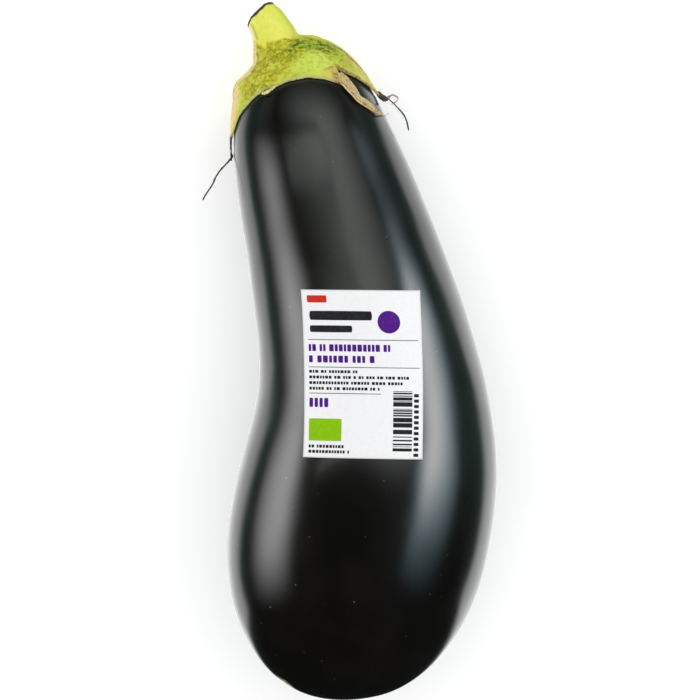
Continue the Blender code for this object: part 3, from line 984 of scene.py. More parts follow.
class Skin:
    """The fruit's skin as a formula of a turn round it and a place along it.

    At the blossom end, along is 0; it counts the sections, and the crown comes one after the last.
    """

    SECTIONS = (
        Section(-14.1, -82.0, 35.5, 9.6, -31.0),
        Section(-8.8, -76.1, 34.6, 21.1, -25.5),
        Section(-3.2, -64.6, 33.3, 29.0, -20.5),
        Section(1.6, -49.0, 32.0, 32.4, -14.5),
        Section(5.3, -29.2, 31.8, 31.8, -8.5),
        Section(6.2, -11.0, 29.7, 29.0, -4.0),
        Section(3.2, 7.2, 27.3, 26.6, 1.5),
        Section(-1.5, 25.0, 24.4, 24.1, 8.0),
        Section(-6.3, 41.5, 21.5, 21.9, 12.0),
        Section(-10.0, 55.0, 21.0, 19.5, 11.8),
        Section(-12.1, 63.7, 20.6, 16.6, 12.8),
        Section(-14.3, 70.6, 20.2, 10.9, 16.3),
    )
    BLOSSOM_END = np.array((-16.0, -82.9, 36.0)) * MM
    CROWN = np.array((-16.8, 74.4, 20.0)) * MM
    CROWN_ALONG = len(SECTIONS) + 1
    TABLE_SECTIONS = 5.0  # how far down from the crown reaches are looked up
    TABLE_STEPS = 200
    SLOPE_STEP = 0.001  # how far apart points are taken to find the slopes
    SEARCH_ROUNDS = 12

    def __init__(self) -> None:
        """Work out the knots of the middle line and of the two half axes, and their slopes."""
        centres = [section.centre() for section in self.SECTIONS]
        sides = np.array([section.across() for section in self.SECTIONS])
        rises = np.array([section.rise() for section in self.SECTIONS])
        point = np.zeros((1, 3))
        self.knots = (
            np.array([self.BLOSSOM_END, *centres, self.CROWN, *centres[::-1]]),
            np.concatenate((point, sides, point, -sides[::-1])),
            np.concatenate((point, rises, point, -rises[::-1])),
        )
        count = len(self.knots[0])
        here = np.eye(count)
        ahead, behind = np.roll(here, 1, axis=1), np.roll(here, -1, axis=1)
        slopes = np.linalg.solve(4.0 * here + ahead + behind, 3.0 * (ahead - behind))
        self.slopes = tuple(slopes @ knots for knots in self.knots)

    def parts(self, along: Array) -> list[Array]:
        """Find the sections at places along the skin.

        Args:
            along: The places.

        Returns:
            The sections' middles, half axes at turn 0 and half axes at turn 90.
        """
        along = np.asarray(along, dtype=float)
        first = np.floor(along).astype(int)
        share = (along - first)[..., None]
        count = len(self.knots[0])
        last, first = (first + 1) % count, first % count
        rise = share * share * (3.0 - 2.0 * share)
        leave, arrive = share * (1.0 - share) ** 2, share * share * (1.0 - share)
        return [(1.0 - rise) * knots[first] + rise * knots[last]
                + leave * slopes[first] - arrive * slopes[last]
                for knots, slopes in zip(self.knots, self.slopes)]

    def point(self, turn: Array, along: Array) -> Array:
        """Points of the skin."""
        middle, across, rise = self.parts(along)
        return middle + np.cos(turn)[..., None] * across + np.sin(turn)[..., None] * rise

    def normal(self, turn: Array, along: Array) -> Array:
        """Find the directions straight out of the skin.

        Args:
            turn: The points' turns.
            along: Their places along the skin.

        Returns:
            The directions.
        """
        step = self.SLOPE_STEP
        onward = self.point(turn, along + step) - self.point(turn, along - step)
        round_it = self.point(turn + step, along) - self.point(turn - step, along)
        out = np.cross(onward, round_it)
        return out / np.linalg.norm(out, axis=-1, keepdims=True)

    def reach_table(self, turn: Array) -> tuple[Array, Array]:
        """Measure how far down the skin its places are.

        Args:
            turn: The turns to measure at.

        Returns:
            Places along the skin, and how far down each is at each turn, in metres.
        """
        along = np.linspace(self.CROWN_ALONG, self.CROWN_ALONG - self.TABLE_SECTIONS, self.TABLE_STEPS)
        points = self.point(np.broadcast_to(turn, (len(along), len(turn))), along[:, None])
        steps = np.linalg.norm(np.diff(points, axis=0), axis=-1)
        return along, np.concatenate((np.zeros((1, len(turn))), np.cumsum(steps, axis=0)))

    def lifted(self, turn: Array, reach: Array, lift: Array) -> Array:
        """Points above the skin.

        Args:
            turn: One turn for each column.
            reach: Reaches in mm, in rows of columns.
            lift: Lifts in mm, in rows of columns.

        Returns:
            The points, in rows of columns, in metres.
        """
        table, travelled = self.reach_table(turn)
        columns = [np.interp(reach[:, i] * MM, travelled[:, i], table) for i in range(len(turn))]
        along = np.stack(columns, axis=1)
        rows = np.broadcast_to(turn, along.shape)
        return self.point(rows, along) + self.normal(rows, along) * np.asarray(lift)[..., None] * MM

    def below(self, x: Array, y: Array) -> tuple[Array, Array]:
        """Find what lies straight below points of the plan.

        Args:
            x: The points' x, in metres.
            y: The points' y, in metres.

        Returns:
            The turns and the places along the upper skin.
        """
        turn = np.full(x.shape, math.pi / 2.0)
        along = np.interp(y, [section.y * MM for section in self.SECTIONS], np.arange(1.0, self.CROWN_ALONG))
        step = self.SLOPE_STEP
        for _ in range(self.SEARCH_ROUNDS):
            here = self.point(turn, along)
            by_turn = (self.point(turn + step, along) - here) / step
            by_along = (self.point(turn, along + step) - here) / step
            miss_x, miss_y = x - here[..., 0], y - here[..., 1]
            area = by_turn[..., 0] * by_along[..., 1] - by_turn[..., 1] * by_along[..., 0]
            turn = turn + (miss_x * by_along[..., 1] - miss_y * by_along[..., 0]) / area
            along = along + (by_turn[..., 0] * miss_y - by_turn[..., 1] * miss_x) / area
        return turn, along


# Sub-assemblies


@dataclass
class Fruit:
    """The fruit: one closed body with low swellings, its scar and what the calyx sheltered."""

    workshop: Workshop
    skin: Skin
    calyx: "Calyx"
    finish: WaxySkin = WaxySkin("waxy aubergine skin")
    columns: int = 240
    rows_per_section: int = 22
    reliefs: tuple[Relief, ...] = (Relief(0.22, 16.0, (1.0, 0.6, 1.0), 1.0, 0.0, 3.0),)
    scar_radius: float = 2.5 * MM
    scar_depth: float = 0.3 * MM
    scar_lip: float = 0.05 * MM
    lip_radius: float = 3.75 * MM
    lip_width: float = 1.0 * MM
    scar: tuple[float, float, float] = (0.1 * MM, 0.2 * MM, 2.8 * MM)  # its middle, from the blossom end
    sheltered_width: float = 2.6  # how far past the calyx the skin stays pale, in mm

    def build(self) -> None:
        """Build the fruit and hand it over."""
        along = np.linspace(0.0, Skin.CROWN_ALONG, Skin.CROWN_ALONG * self.rows_per_section + 1)
        parts, finish, table_level = self.skin.parts(along), self.finish.make(), 0.0
        piece = self.workshop.lofted("fruit_skin", *parts, self.columns, finish, self.reliefs, table_level)
        turn, row = read(piece.data, "turn"), read(piece.data, "row")
        self.draw_scar(piece)
        paint(piece.data, {"sheltered": self.shelter(turn, row / self.rows_per_section)})
        hand_over(piece, "skin", "fruit")

    def draw_scar(self, piece: Object) -> None:
        """Draw the blossom end in to a corky dimple with a low lip.

        Args:
            piece: The finished fruit.
        """
        points = places(piece.data)
        middle = Skin.BLOSSOM_END + np.array(self.scar)
        away = np.linalg.norm(points - middle, axis=1)
        inward = np.mean(points, axis=0) - middle
        inward /= np.linalg.norm(inward)
        dip = self.scar_depth * np.exp(-(away / self.scar_radius) ** 2)
        past_lip = (away - self.lip_radius) / self.lip_width
        lip = self.scar_lip * np.exp(-past_lip**2)
        piece.data.vertices.foreach_set("co", (points + inward * (dip - lip)[:, None]).ravel())
        angle = np.arctan2(points[:, 2] - middle[2], points[:, 0] - middle[0])
        ragged = 1.0 + 0.12 * np.sin(5.0 * angle) + 0.1 * np.sin(8.0 * angle + 1.0)
        ragged += 0.07 * np.sin(13.0 * angle)
        paint(piece.data, {"cork": np.clip(1.5 - away / (self.scar_radius * ragged), 0.0, 1.0)})

    def shelter(self, turn: Array, along: Array) -> Array:
        """Find the skin that grew under the calyx.

        Args:
            turn: Each vertex's turn.
            along: Its place along the skin.

        Returns:
            1 under the calyx and 0 well past its edge, for each vertex.
        """
        turns = np.linspace(0.0, FULL_TURN, 361)
        table, travelled = self.skin.reach_table(turns)
        column = np.round(np.degrees(turn)).astype(int)
        place = np.interp(-along, -table, np.arange(len(table)))
        reach = travelled[np.round(place).astype(int), column] / MM
        past = reach - self.calyx.margin(turn)
        beyond_table = along < Skin.CROWN_ALONG - Skin.TABLE_SECTIONS
        return np.where(beyond_table, 0.0, 1.0 - smooth(-1.0, self.sheltered_width, past))


@dataclass(frozen=True)
class Lobe:
    """A sepal: its turn, its reach, how it narrows on each side, and how far its tip lifts."""

    turn: float
    reach: float
    before: float
    after: float
    power: float
    curl: float

    def depth(self, degrees: Array, sinus: float) -> Array:
        """Measure how far the lobe passes the sinuses.

        Args:
            degrees: The turns to measure at.
            sinus: The sinuses' reach in mm.

        Returns:
            The depths in mm.
        """
        off = (degrees - self.turn + 180.0) % 360.0 - 180.0
        share = np.abs(off) / np.where(off > 0.0, self.after, self.before)
        return (self.reach - sinus) * np.maximum(0.0, 1.0 - share) ** self.power


class Blot(NamedTuple):
    """A soft patch of the calyx: its turn and reach, how wide it is in both, and its strength."""

    turn: float
    reach: float
    turn_width: float
    reach_width: float
    strength: float


@dataclass
class Calyx:
    """The calyx: a cap of pointed sepals, fleshy round the stem and thin at its edge."""

    workshop: Workshop
    skin: Skin
    stem: "Stem"
    finish: FreshCalyx = FreshCalyx("fresh green calyx")
    columns: int = 540
    sinus: float = 17.2
    lobes: tuple[Lobe, ...] = (
        Lobe(5.0, 28.4, 32.0, 46.0, 1.0, 0.4),
        Lobe(51.0, 23.2, 4.0, 47.0, 2.0, 0.0),
        Lobe(173.0, 26.5, 50.0, 34.0, 1.7, 0.0),
        Lobe(235.0, 27.0, 32.0, 34.0, 1.5, 0.9),
        Lobe(298.0, 26.0, 34.0, 34.0, 1.5, 0.9),
    )
    wave: float = 0.16
    waves: float = 17.0
    rag: float = 1.1
    margin_thickness: float = 0.6
    margin_lift: float = 0.16
    crown_thickness: float = 3.25
    crown_side_thickness: float = 1.25
    thin_from: float = 27.0
    shoulder: Blot = Blot(180.0, 13.8, 28.0, 3.2, 1.3)
    collar_radius: float = 5.85
    collar_flare: float = 1.4
    edge_round: float = 0.55
    edge_height: float = 0.35  # share of the edge's thickness at which its two sides meet
    outer_rows: int = 66
    under_rows: int = 14
    outer_spacing: float = 0.8  # below 1, rows lie closer together towards the edge
    under_spacing: float = 1.3
    fillet_steps: int = 6
    under_from: float = 5.6
    under_edge: float = 0.12  # how far the underside ends inside the edge
    left_seam_turn: float = 176.0
    seed: int = 5
    reliefs: tuple[Relief, ...] = (
        Relief(0.55, 2.6, (1.0, 1.0, 1.0), 2.0, 0.3, 1.0, "wrinkled"),
        Relief(0.3, 0.95, (1.0, 1.0, 1.0), 2.0, 0.6, 7.0, "wrinkled"),
        Relief(0.1, 0.6, (1.0, 1.0, 1.0), 1.0, 0.0, 2.0, "fleshy"),
    )
    blots: dict[str, tuple[Blot, ...]] = field(default_factory=lambda: {
        "lush": (Blot(45, 12.5, 24, 4.0, 1.1), Blot(60, 8.5, 18, 2.6, 0.9), Blot(34, 18, 14, 5.0, 0.5),
                 Blot(84, 16.4, 26, 1.8, 0.6), Blot(150, 21, 7, 2.4, 0.6), Blot(250, 14, 45, 6.0, 0.7),
                 Blot(320, 13, 35, 5.0, 0.7)),
        "fair": (Blot(70, 15.4, 20, 2.8, 1.3), Blot(56, 15.5, 10, 2.2, 0.8)),
        "olive": (Blot(108, 8.5, 30, 5.5, 1.9), Blot(130, 13.5, 18, 7.5, 1.7), Blot(74, 7.5, 24, 2.8, 1.4),
                  Blot(138, 4.6, 26, 2.6, 1.3), Blot(36, 14.0, 16, 6.0, 0.9), Blot(215, 12, 40, 6.0, 0.8),
                  Blot(290, 12, 40, 6.0, 0.8)),
        "folded": (Blot(62, 8.4, 18, 2.0, 1.3), Blot(46, 11.4, 20, 3.0, 1.1), Blot(36, 15.6, 12, 4.0, 0.35),
                   Blot(92, 9.4, 18, 1.4, 0.7), Blot(84, 17.0, 14, 0.5, 0.5),
                   Blot(200, 12, 30, 5.0, 0.7), Blot(262, 12, 40, 5.0, 0.8), Blot(325, 12, 34, 5.0, 0.8)),
        "straw": (Blot(24, 23.0, 14, 5.5, 1.5), Blot(8, 24, 14, 8.0, 1.2), Blot(57, 19.6, 10, 2.0, 0.9)),
        "dried": (Blot(172, 27.5, 8, 2.2, 0.9), Blot(54, 21.4, 5.0, 1.9, 0.95), Blot(3, 28.6, 7, 2.0, 0.8),
                  Blot(57, 18.2, 7, 0.35, 0.8), Blot(235, 27, 9, 2.5, 0.9), Blot(298, 26, 9, 2.5, 0.9)),
    })
    # The inner edge of the pale flank, which is a painted highlight, and the brown seam on the right, as
    # turns at these reaches
    pale_reaches: tuple[float, ...] = (3.0, 6.6, 10.9, 13.5, 17.0, 20.0, 22.5, 25.0)
    pale_turns: tuple[float, ...] = (145.0, 152.0, 151.0, 165.0, 156.0, 158.0, 161.0, 169.0)
    seam_reaches: tuple[float, ...] = (10.5, 11.7, 15.7, 18.5, 20.0, 22.0, 24.0)
    seam_turns: tuple[float, ...] = (22.0, 20.5, 17.0, 16.0, 12.0, 5.5, 0.5)

    def longest(self, turn: Array) -> tuple[Array, Array, Array]:
        """Find the sepal that makes the edge.

        Args:
            turn: The turns.

        Returns:
            Its depth, its reach and its curl at each turn.
        """
        degrees = np.degrees(turn)
        depths = np.array([lobe.depth(degrees, self.sinus) for lobe in self.lobes])
        pick = np.argmax(depths, axis=0)
        forms = np.array([(lobe.reach, lobe.curl) for lobe in self.lobes])[pick]
        return np.max(depths, axis=0), forms[..., 0], forms[..., 1]

    def margin(self, turn: Array) -> Array:
        """How far down the skin the calyx reaches at each turn, in mm."""
        depth, _, _ = self.longest(turn)
        return self.sinus + depth + self.wave * np.sin(self.waves * turn) * np.cos(3.0 * turn + 1.0)

    def ragged(self, turn: Array) -> Array:
        """How far the edge strays from its line, in mm."""
        draw = np.random.default_rng(self.seed)
        return sum(np.sin(waves * turn + draw.uniform(0.0, FULL_TURN)) * self.rag / waves
                   for waves in range(23, 96, 9))

    def thickness(self, turn: Array, reach: Array) -> Array:
        """Thickness of the calyx, in mm: fleshy round the stem and thin at its edge."""
        crown = self.crown_thickness + self.crown_side_thickness * np.cos(turn)
        thick = 1.0 - smooth(0.0, self.thin_from, reach)
        return self.margin_thickness + (crown - self.margin_thickness) * thick

    def under(self, turn: Array, reach: Array) -> Array:
        """Lift of the calyx's underside, in mm: more under a curled tip."""
        _, lobe_reach, curl = self.longest(turn)
        share = np.maximum(0.0, reach - self.sinus) / (lobe_reach - self.sinus)
        return self.margin_lift + curl * share * share

    def blot(self, turn: Array, reach: Array, blots: tuple[Blot, ...]) -> Array:
        """Add up soft patches.

        Args:
            turn: The turns of the places.
            reach: Their reaches in mm.
            blots: The patches.

        Returns:
            The sum at each place.
        """
        degrees = np.degrees(turn)
        total = np.zeros(np.broadcast(turn, reach).shape)
        for blot in blots:
            off = ((degrees - blot.turn + 180.0) % 360.0 - 180.0) / blot.turn_width
            past = (reach - blot.reach) / blot.reach_width
            total += blot.strength * np.exp(-(off**2) - past**2)
        return total

    def over(self, turn: Array, reach: Array) -> Array:
        """Lift of the calyx's upper side, in mm."""
        shoulder = self.blot(turn, reach, (self.shoulder,))
        return self.under(turn, reach) + self.thickness(turn, reach) + shoulder

    def rows(self, turn: Array) -> tuple[Array, dict[str, Array]]:
        """Every row of the calyx round the stem, from the stem's side to the edge and back under.

        Args:
            turn: The turns of the columns.

        Returns:
            The points in rows of columns, and what each carries, by name.
        """
        margin = self.margin(turn) + self.ragged(turn)
        start = self.collar_radius + self.collar_flare
        share = np.linspace(0.0, 1.0, self.outer_rows)[:, None] ** self.outer_spacing
        outer = start + (margin - start) * share
        turns = np.broadcast_to(turn, outer.shape)
        from_edge = (margin - outer) / self.edge_round
        edge = np.sqrt(np.clip(1.0 - np.clip(1.0 - from_edge, 0.0, 1.0) ** 2, 0.0, 1.0))
        low = self.under(turns, outer) + self.edge_height * self.margin_thickness
        lift = low + (self.over(turns, outer) - low) * edge
        top = self.skin.lifted(turn, outer, lift)
        share = np.linspace(1.0, 0.0, self.under_rows)[:, None] ** self.under_spacing
        inner = share * (margin - self.under_edge - self.under_from) + self.under_from
        low_turns = np.broadcast_to(turn, inner.shape)
        bottom = self.skin.lifted(turn, inner, self.under(low_turns, inner))
        fillet = self.fillet(turn, top)
        points = np.concatenate((fillet, top, bottom))
        rising = np.linspace(2.0, start, len(fillet) + 1)[:-1, None] + 0.0 * turn
        reach = np.concatenate((rising, outer, inner))
        hidden = np.concatenate((np.zeros(len(fillet)), np.zeros(len(top)), np.ones(len(bottom))))[:, None]
        return points, self.painted(turn, reach, margin, hidden)

    def fillet(self, turn: Array, top: Array) -> Array:
        """Sweep the calyx up on to the stem's side, just inside it.

        Args:
            turn: The turns of the columns.
            top: The calyx's upper rows.

        Returns:
            The rows between the stem and the calyx.
        """
        stem_side = self.stem.side(turn, self.stem.feather(turn))
        collar = self.stem.side(turn, self.stem.collar(turn), self.collar_radius)
        knots = np.stack((stem_side, collar, top[0], top[3]))
        return through(knots, self.fillet_steps)[: 2 * self.fillet_steps]

    def painted(self, turn: Array, reach: Array, margin: Array, hidden: Array) -> dict[str, Array]:
        """Where the calyx is lush, pale, dried and so on.

        Args:
            turn: The turns of the columns.
            reach: Every point's reach, in mm.
            margin: The edge's reach at each turn, in mm.
            hidden: 1 for the rows of the underside and 0 for the others.

        Returns:
            A share from 0 to 1 for every point, by name.
        """
        turns = np.broadcast_to(turn, reach.shape)
        values = {name: np.clip(self.blot(turns, reach, blots), 0.0, 1.0)
                  for name, blots in self.blots.items()}
        degrees = np.degrees(turns)
        waver = 1.5 * np.sin(1.7 * reach + 1.0) + 1.0 * np.sin(4.1 * reach)
        ripple = 0.5 * np.sin(5.0 * turns) + 0.4 * np.sin(11.0 * turns) + 0.3 * np.sin(23.0 * turns)
        values["edge"] = np.maximum(smooth(0.24, 0.03, margin - reach), hidden)
        values["stalk"] = 1.0 - smooth(3.9, 5.4, reach + 0.9 * ripple)
        # The pale left flank is a painted highlight: it stands for the light that wraps round the calyx's
        # left side
        past_pale = degrees + waver - np.interp(reach, self.pale_reaches, self.pale_turns)
        values["pale"] = smooth(-5.0, 4.0, past_pale) * smooth(216.0, 204.0, degrees)
        values["pale"] *= smooth(2.0, 5.0, reach)
        # Each seam is a line of its own width, which wavers round a turn between two reaches
        left_seam = smooth(3.2, 1.0, np.abs(degrees - self.left_seam_turn - 1.2 * waver))
        left_seam *= smooth(11.5, 14.5, reach) * smooth(21.0, 18.0, reach)
        inner_seam = 0.5 * smooth(4.0, 1.0, np.abs(past_pale + 5.0))
        inner_seam *= smooth(3.0, 7.0, reach) * smooth(15.0, 12.0, reach)
        past_seam = (degrees + 180.0) % 360.0 - 180.0 + 0.5 * waver
        past_seam = past_seam - np.interp(reach, self.seam_reaches, self.seam_turns)
        right_seam = smooth(3.0, 1.0, np.abs(past_seam))
        right_seam *= smooth(10.0, 11.5, reach) * smooth(25.0, 23.0, reach)
        values["seam"] = np.maximum(np.maximum(left_seam, inner_seam), right_seam)
        # Outside the right seam the lobe has dried pale, and so has the edge beside the gap
        outer = smooth(0.0, -3.0, past_seam) * smooth(-40.0, -30.0, past_seam) * smooth(10.0, 12.0, reach)
        values["straw"] = np.clip(values["straw"] + outer, 0.0, 1.0)
        values["pale"] = np.maximum(values["pale"], 0.5 * outer * smooth(22.0, 17.0, reach))
        beside_gap = smooth(0.6, 0.1, margin - reach)
        beside_gap = beside_gap * smooth(4.0, 12.0, degrees) * smooth(50.0, 44.0, degrees)
        values["dried"] = np.clip(values["dried"] + 0.65 * beside_gap, 0.0, 1.0)
        values["fleshy"] = smooth(0.3, 2.5, margin - reach) * smooth(2.5, 6.5, reach) * (1.0 - hidden)
        values["wrinkled"] = values["fleshy"] * (0.35 + 0.9 * values["folded"])
        return values

    def build(self) -> None:
        """Build the calyx and hand it over."""
        turn = np.arange(self.columns) * FULL_TURN / self.columns
        points, values = self.rows(turn)
        count, columns, _ = points.shape
        index = np.arange(count * columns).reshape(count, columns)
        onward, round_it = np.roll(index, -1, axis=0), np.roll(index, -1, axis=1)
        both = np.roll(onward, -1, axis=1)
        faces = np.stack((index, round_it, both, onward), axis=-1).reshape(-1, 4)
        mesh = bpy.data.meshes.new("calyx_form")
        mesh.from_pydata(points.reshape(-1, 3).tolist(), [], faces.tolist())
        paint(mesh, {name: value.ravel() for name, value in values.items()})
        source = facing_out(link("calyx_form", mesh))
        finish = self.finish.make()
        steps = [(self.workshop.relief, relief.inputs(finish)) for relief in self.reliefs]
        piece = self.workshop.run("calyx_sepals", source, steps)
        hand_over(piece, "calyx", "calyx")


@dataclass
class Stem:
    """The cut stalk: it flares into the calyx, and its dried cut looks up the table, a little down."""

    workshop: Workshop
    finish: CutStalk = CutStalk("cut green stalk")
    sections: tuple[Section, ...] = (
        Section(-17.6, 75.2, 20.0, 5.95, 17.0),
        Section(-18.1, 76.75, 20.0, 5.85, 20.0),
        Section(-19.1, 79.1, 19.9, 5.5, 24.0),
        Section(-20.75, 82.25, 19.7, 4.8, 33.0),
        Section(-22.2, 83.9, 19.5, 4.35, 45.0),
    )
    steps: int = 14
    sides: int = 120
    cut_tilt: float = 16.0  # how far the cut looks down, in degrees
    tilt_from: float = 0.3  # share of the stem's length where it starts to tilt
    rim_round: float = 0.45
    hollow: float = 0.55
    collar_start: float = 1.2  # in sections
    collar_left: float = 0.55
    feather_above: float = 0.65  # how far above the collar the calyx dies away inside the stem
    feather_waver: float = 0.2
    collar_turn: float = 160.0
    collar_width: float = 50.0
    inside: float = 0.955  # share of the stem's radius at which the calyx ends inside it
    cut_face: tuple[tuple[float, float], ...] = (  # shares of the radius, and heights in the hollow
        (0.82, 0.30), (0.76, 0.05), (0.6, -0.1), (0.4, 0.0), (0.22, 0.05), (0.1, -0.15), (0.0, -0.2))
    reliefs: tuple[Relief, ...] = (
        Relief(0.28, 3.0, (1.0, 0.5, 1.0), 2.0, 0.0, 4.0),
        Relief(0.1, 0.7, (1.0, 0.3, 1.0), 1.0, 0.5, 9.0),
    )

    def axis(self) -> tuple[Array, Array, Array]:
        """Follow the stem.

        Returns:
            Its middles, its half axes at turn 0 and its half axes at turn 90, densely along it.
        """
        rows = through(np.array(self.sections), self.steps)
        middles, across, rises = [], [], []
        for share, row in zip(np.linspace(0.0, 1.0, len(rows)), rows):
            section = Section(*row)
            tilt = math.radians(self.cut_tilt) * float(smooth(self.tilt_from, 1.0, share))
            middles.append(section.centre())
            across.append(section.across())
            forward = section.facing() * section.radius * MM
            rises.append(section.rise() * math.cos(tilt) + forward * math.sin(tilt))
        return np.array(middles), np.array(across), np.array(rises)

    def feather(self, turn: Array) -> Array:
        """Where the calyx dies away on the stem's side at each turn, counted in sections."""
        waver = np.sin(3.0 * turn + 1.0) + 0.6 * np.sin(7.0 * turn) + 0.4 * np.sin(17.0 * turn + 2.0)
        return self.collar(turn) + self.feather_above + self.feather_waver * waver

    def collar(self, turn: Array) -> Array:
        """Where the calyx leaves the stem's side at each turn, counted in sections: higher on the left."""
        off = (np.degrees(turn) - self.collar_turn) / self.collar_width
        return self.collar_start + self.collar_left * np.exp(-(off**2))

    def side(self, turn: Array, along: Array, radius: float | None = None) -> Array:
        """Points of the stem's side, or a little inside it unless a radius is given.

        Args:
            turn: The turns.
            along: Where along the stem, counted in sections.
            radius: A radius in mm to use instead of the stem's own.

        Returns:
            The points, in metres.
        """
        middles, across, rises = self.axis()
        place = along * self.steps
        pick = [np.stack([np.interp(place, np.arange(len(part)), part[:, i]) for i in range(3)], axis=-1)
                for part in (middles, across, rises)]
        own = np.linalg.norm(pick[1], axis=-1, keepdims=True)
        scale = self.inside if radius is None else radius * MM / own
        return pick[0] + (np.cos(turn)[:, None] * pick[1] + np.sin(turn)[:, None] * pick[2]) * scale

    def build(self) -> None:
        """Build the stem with its rounded rim and hollow cut, and hand it over."""
        middles, across, rises = self.axis()
        out = np.cross(across[-1], rises[-1])
        out *= -1.0 if out @ self.sections[-1].facing() < 0.0 else 1.0
        out /= np.linalg.norm(out)
        radius = self.sections[-1].radius
        lip = [(1.0 - self.rim_round / radius * (1.0 - math.cos(a)), self.rim_round * math.sin(a))
               for a in np.linspace(0.0, math.pi / 2.0, 6)[1:]]
        rings = [*lip, *((share, depth - self.hollow + self.rim_round) for share, depth in self.cut_face)]
        middles = np.array([Skin.CROWN, *middles, *(middles[-1] + out * depth * MM for _, depth in rings)])
        across = np.array([(0.0, 0.0, 0.0), *across, *(across[-1] * share for share, _ in rings)])
        rises = np.array([(0.0, 0.0, 0.0), *rises, *(rises[-1] * share for share, _ in rings)])
        finish = self.finish.make()
        piece = self.workshop.lofted("stem_stalk", middles, across, rises, self.sides, finish, self.reliefs)
        self.paint_stem(piece, len(middles), len(rings))
        hand_over(piece, "stem", "stem")

    def paint_stem(self, piece: Object, rows: int, rings: int) -> None:
        """Paint the rim, the cut face, the pale left side and the greener right side.

        Args:
            piece: The finished stem.
            rows: How many rows it has along it.
            rings: How many of them make the lip and the cut.
        """
        turn, row = read(piece.data, "turn"), read(piece.data, "row")
        rim = rows - rings - 1
        ragged = 0.9 * np.sin(5.0 * turn) + 0.6 * np.sin(11.0 * turn + 1.0)
        upper = 0.6 + 0.4 * np.sin(turn)
        degrees = np.degrees(turn)
        off_right = np.abs((degrees + 180.0) % 360.0 - 180.0)
        paint(piece.data, {
            "cut": smooth(rim - 4.8, rim - 2.0, row + ragged * upper),
            "face": smooth(rim + 5.0, rim + 7.0, row),
            # Painted highlight: pale down the left side and along the very right edge, where the light wraps
            # round
            "pale": np.maximum(smooth(33.0, 24.0, np.abs(degrees - 180.0)), smooth(15.0, 7.0, off_right)),
            "line": 0.6 * smooth(9.0, 3.0, np.abs(degrees - 140.0)) * smooth(rim, rim - 12.0, row),
            "shaded": 0.6 * smooth(26.0, 4.0, np.abs(off_right - 24.0)),
        })


class Bead(NamedTuple):
    """A point of a strand: its place, its half width and its half thickness, in mm."""

    x: float
    y: float
    z: float
    width: float
    thickness: float


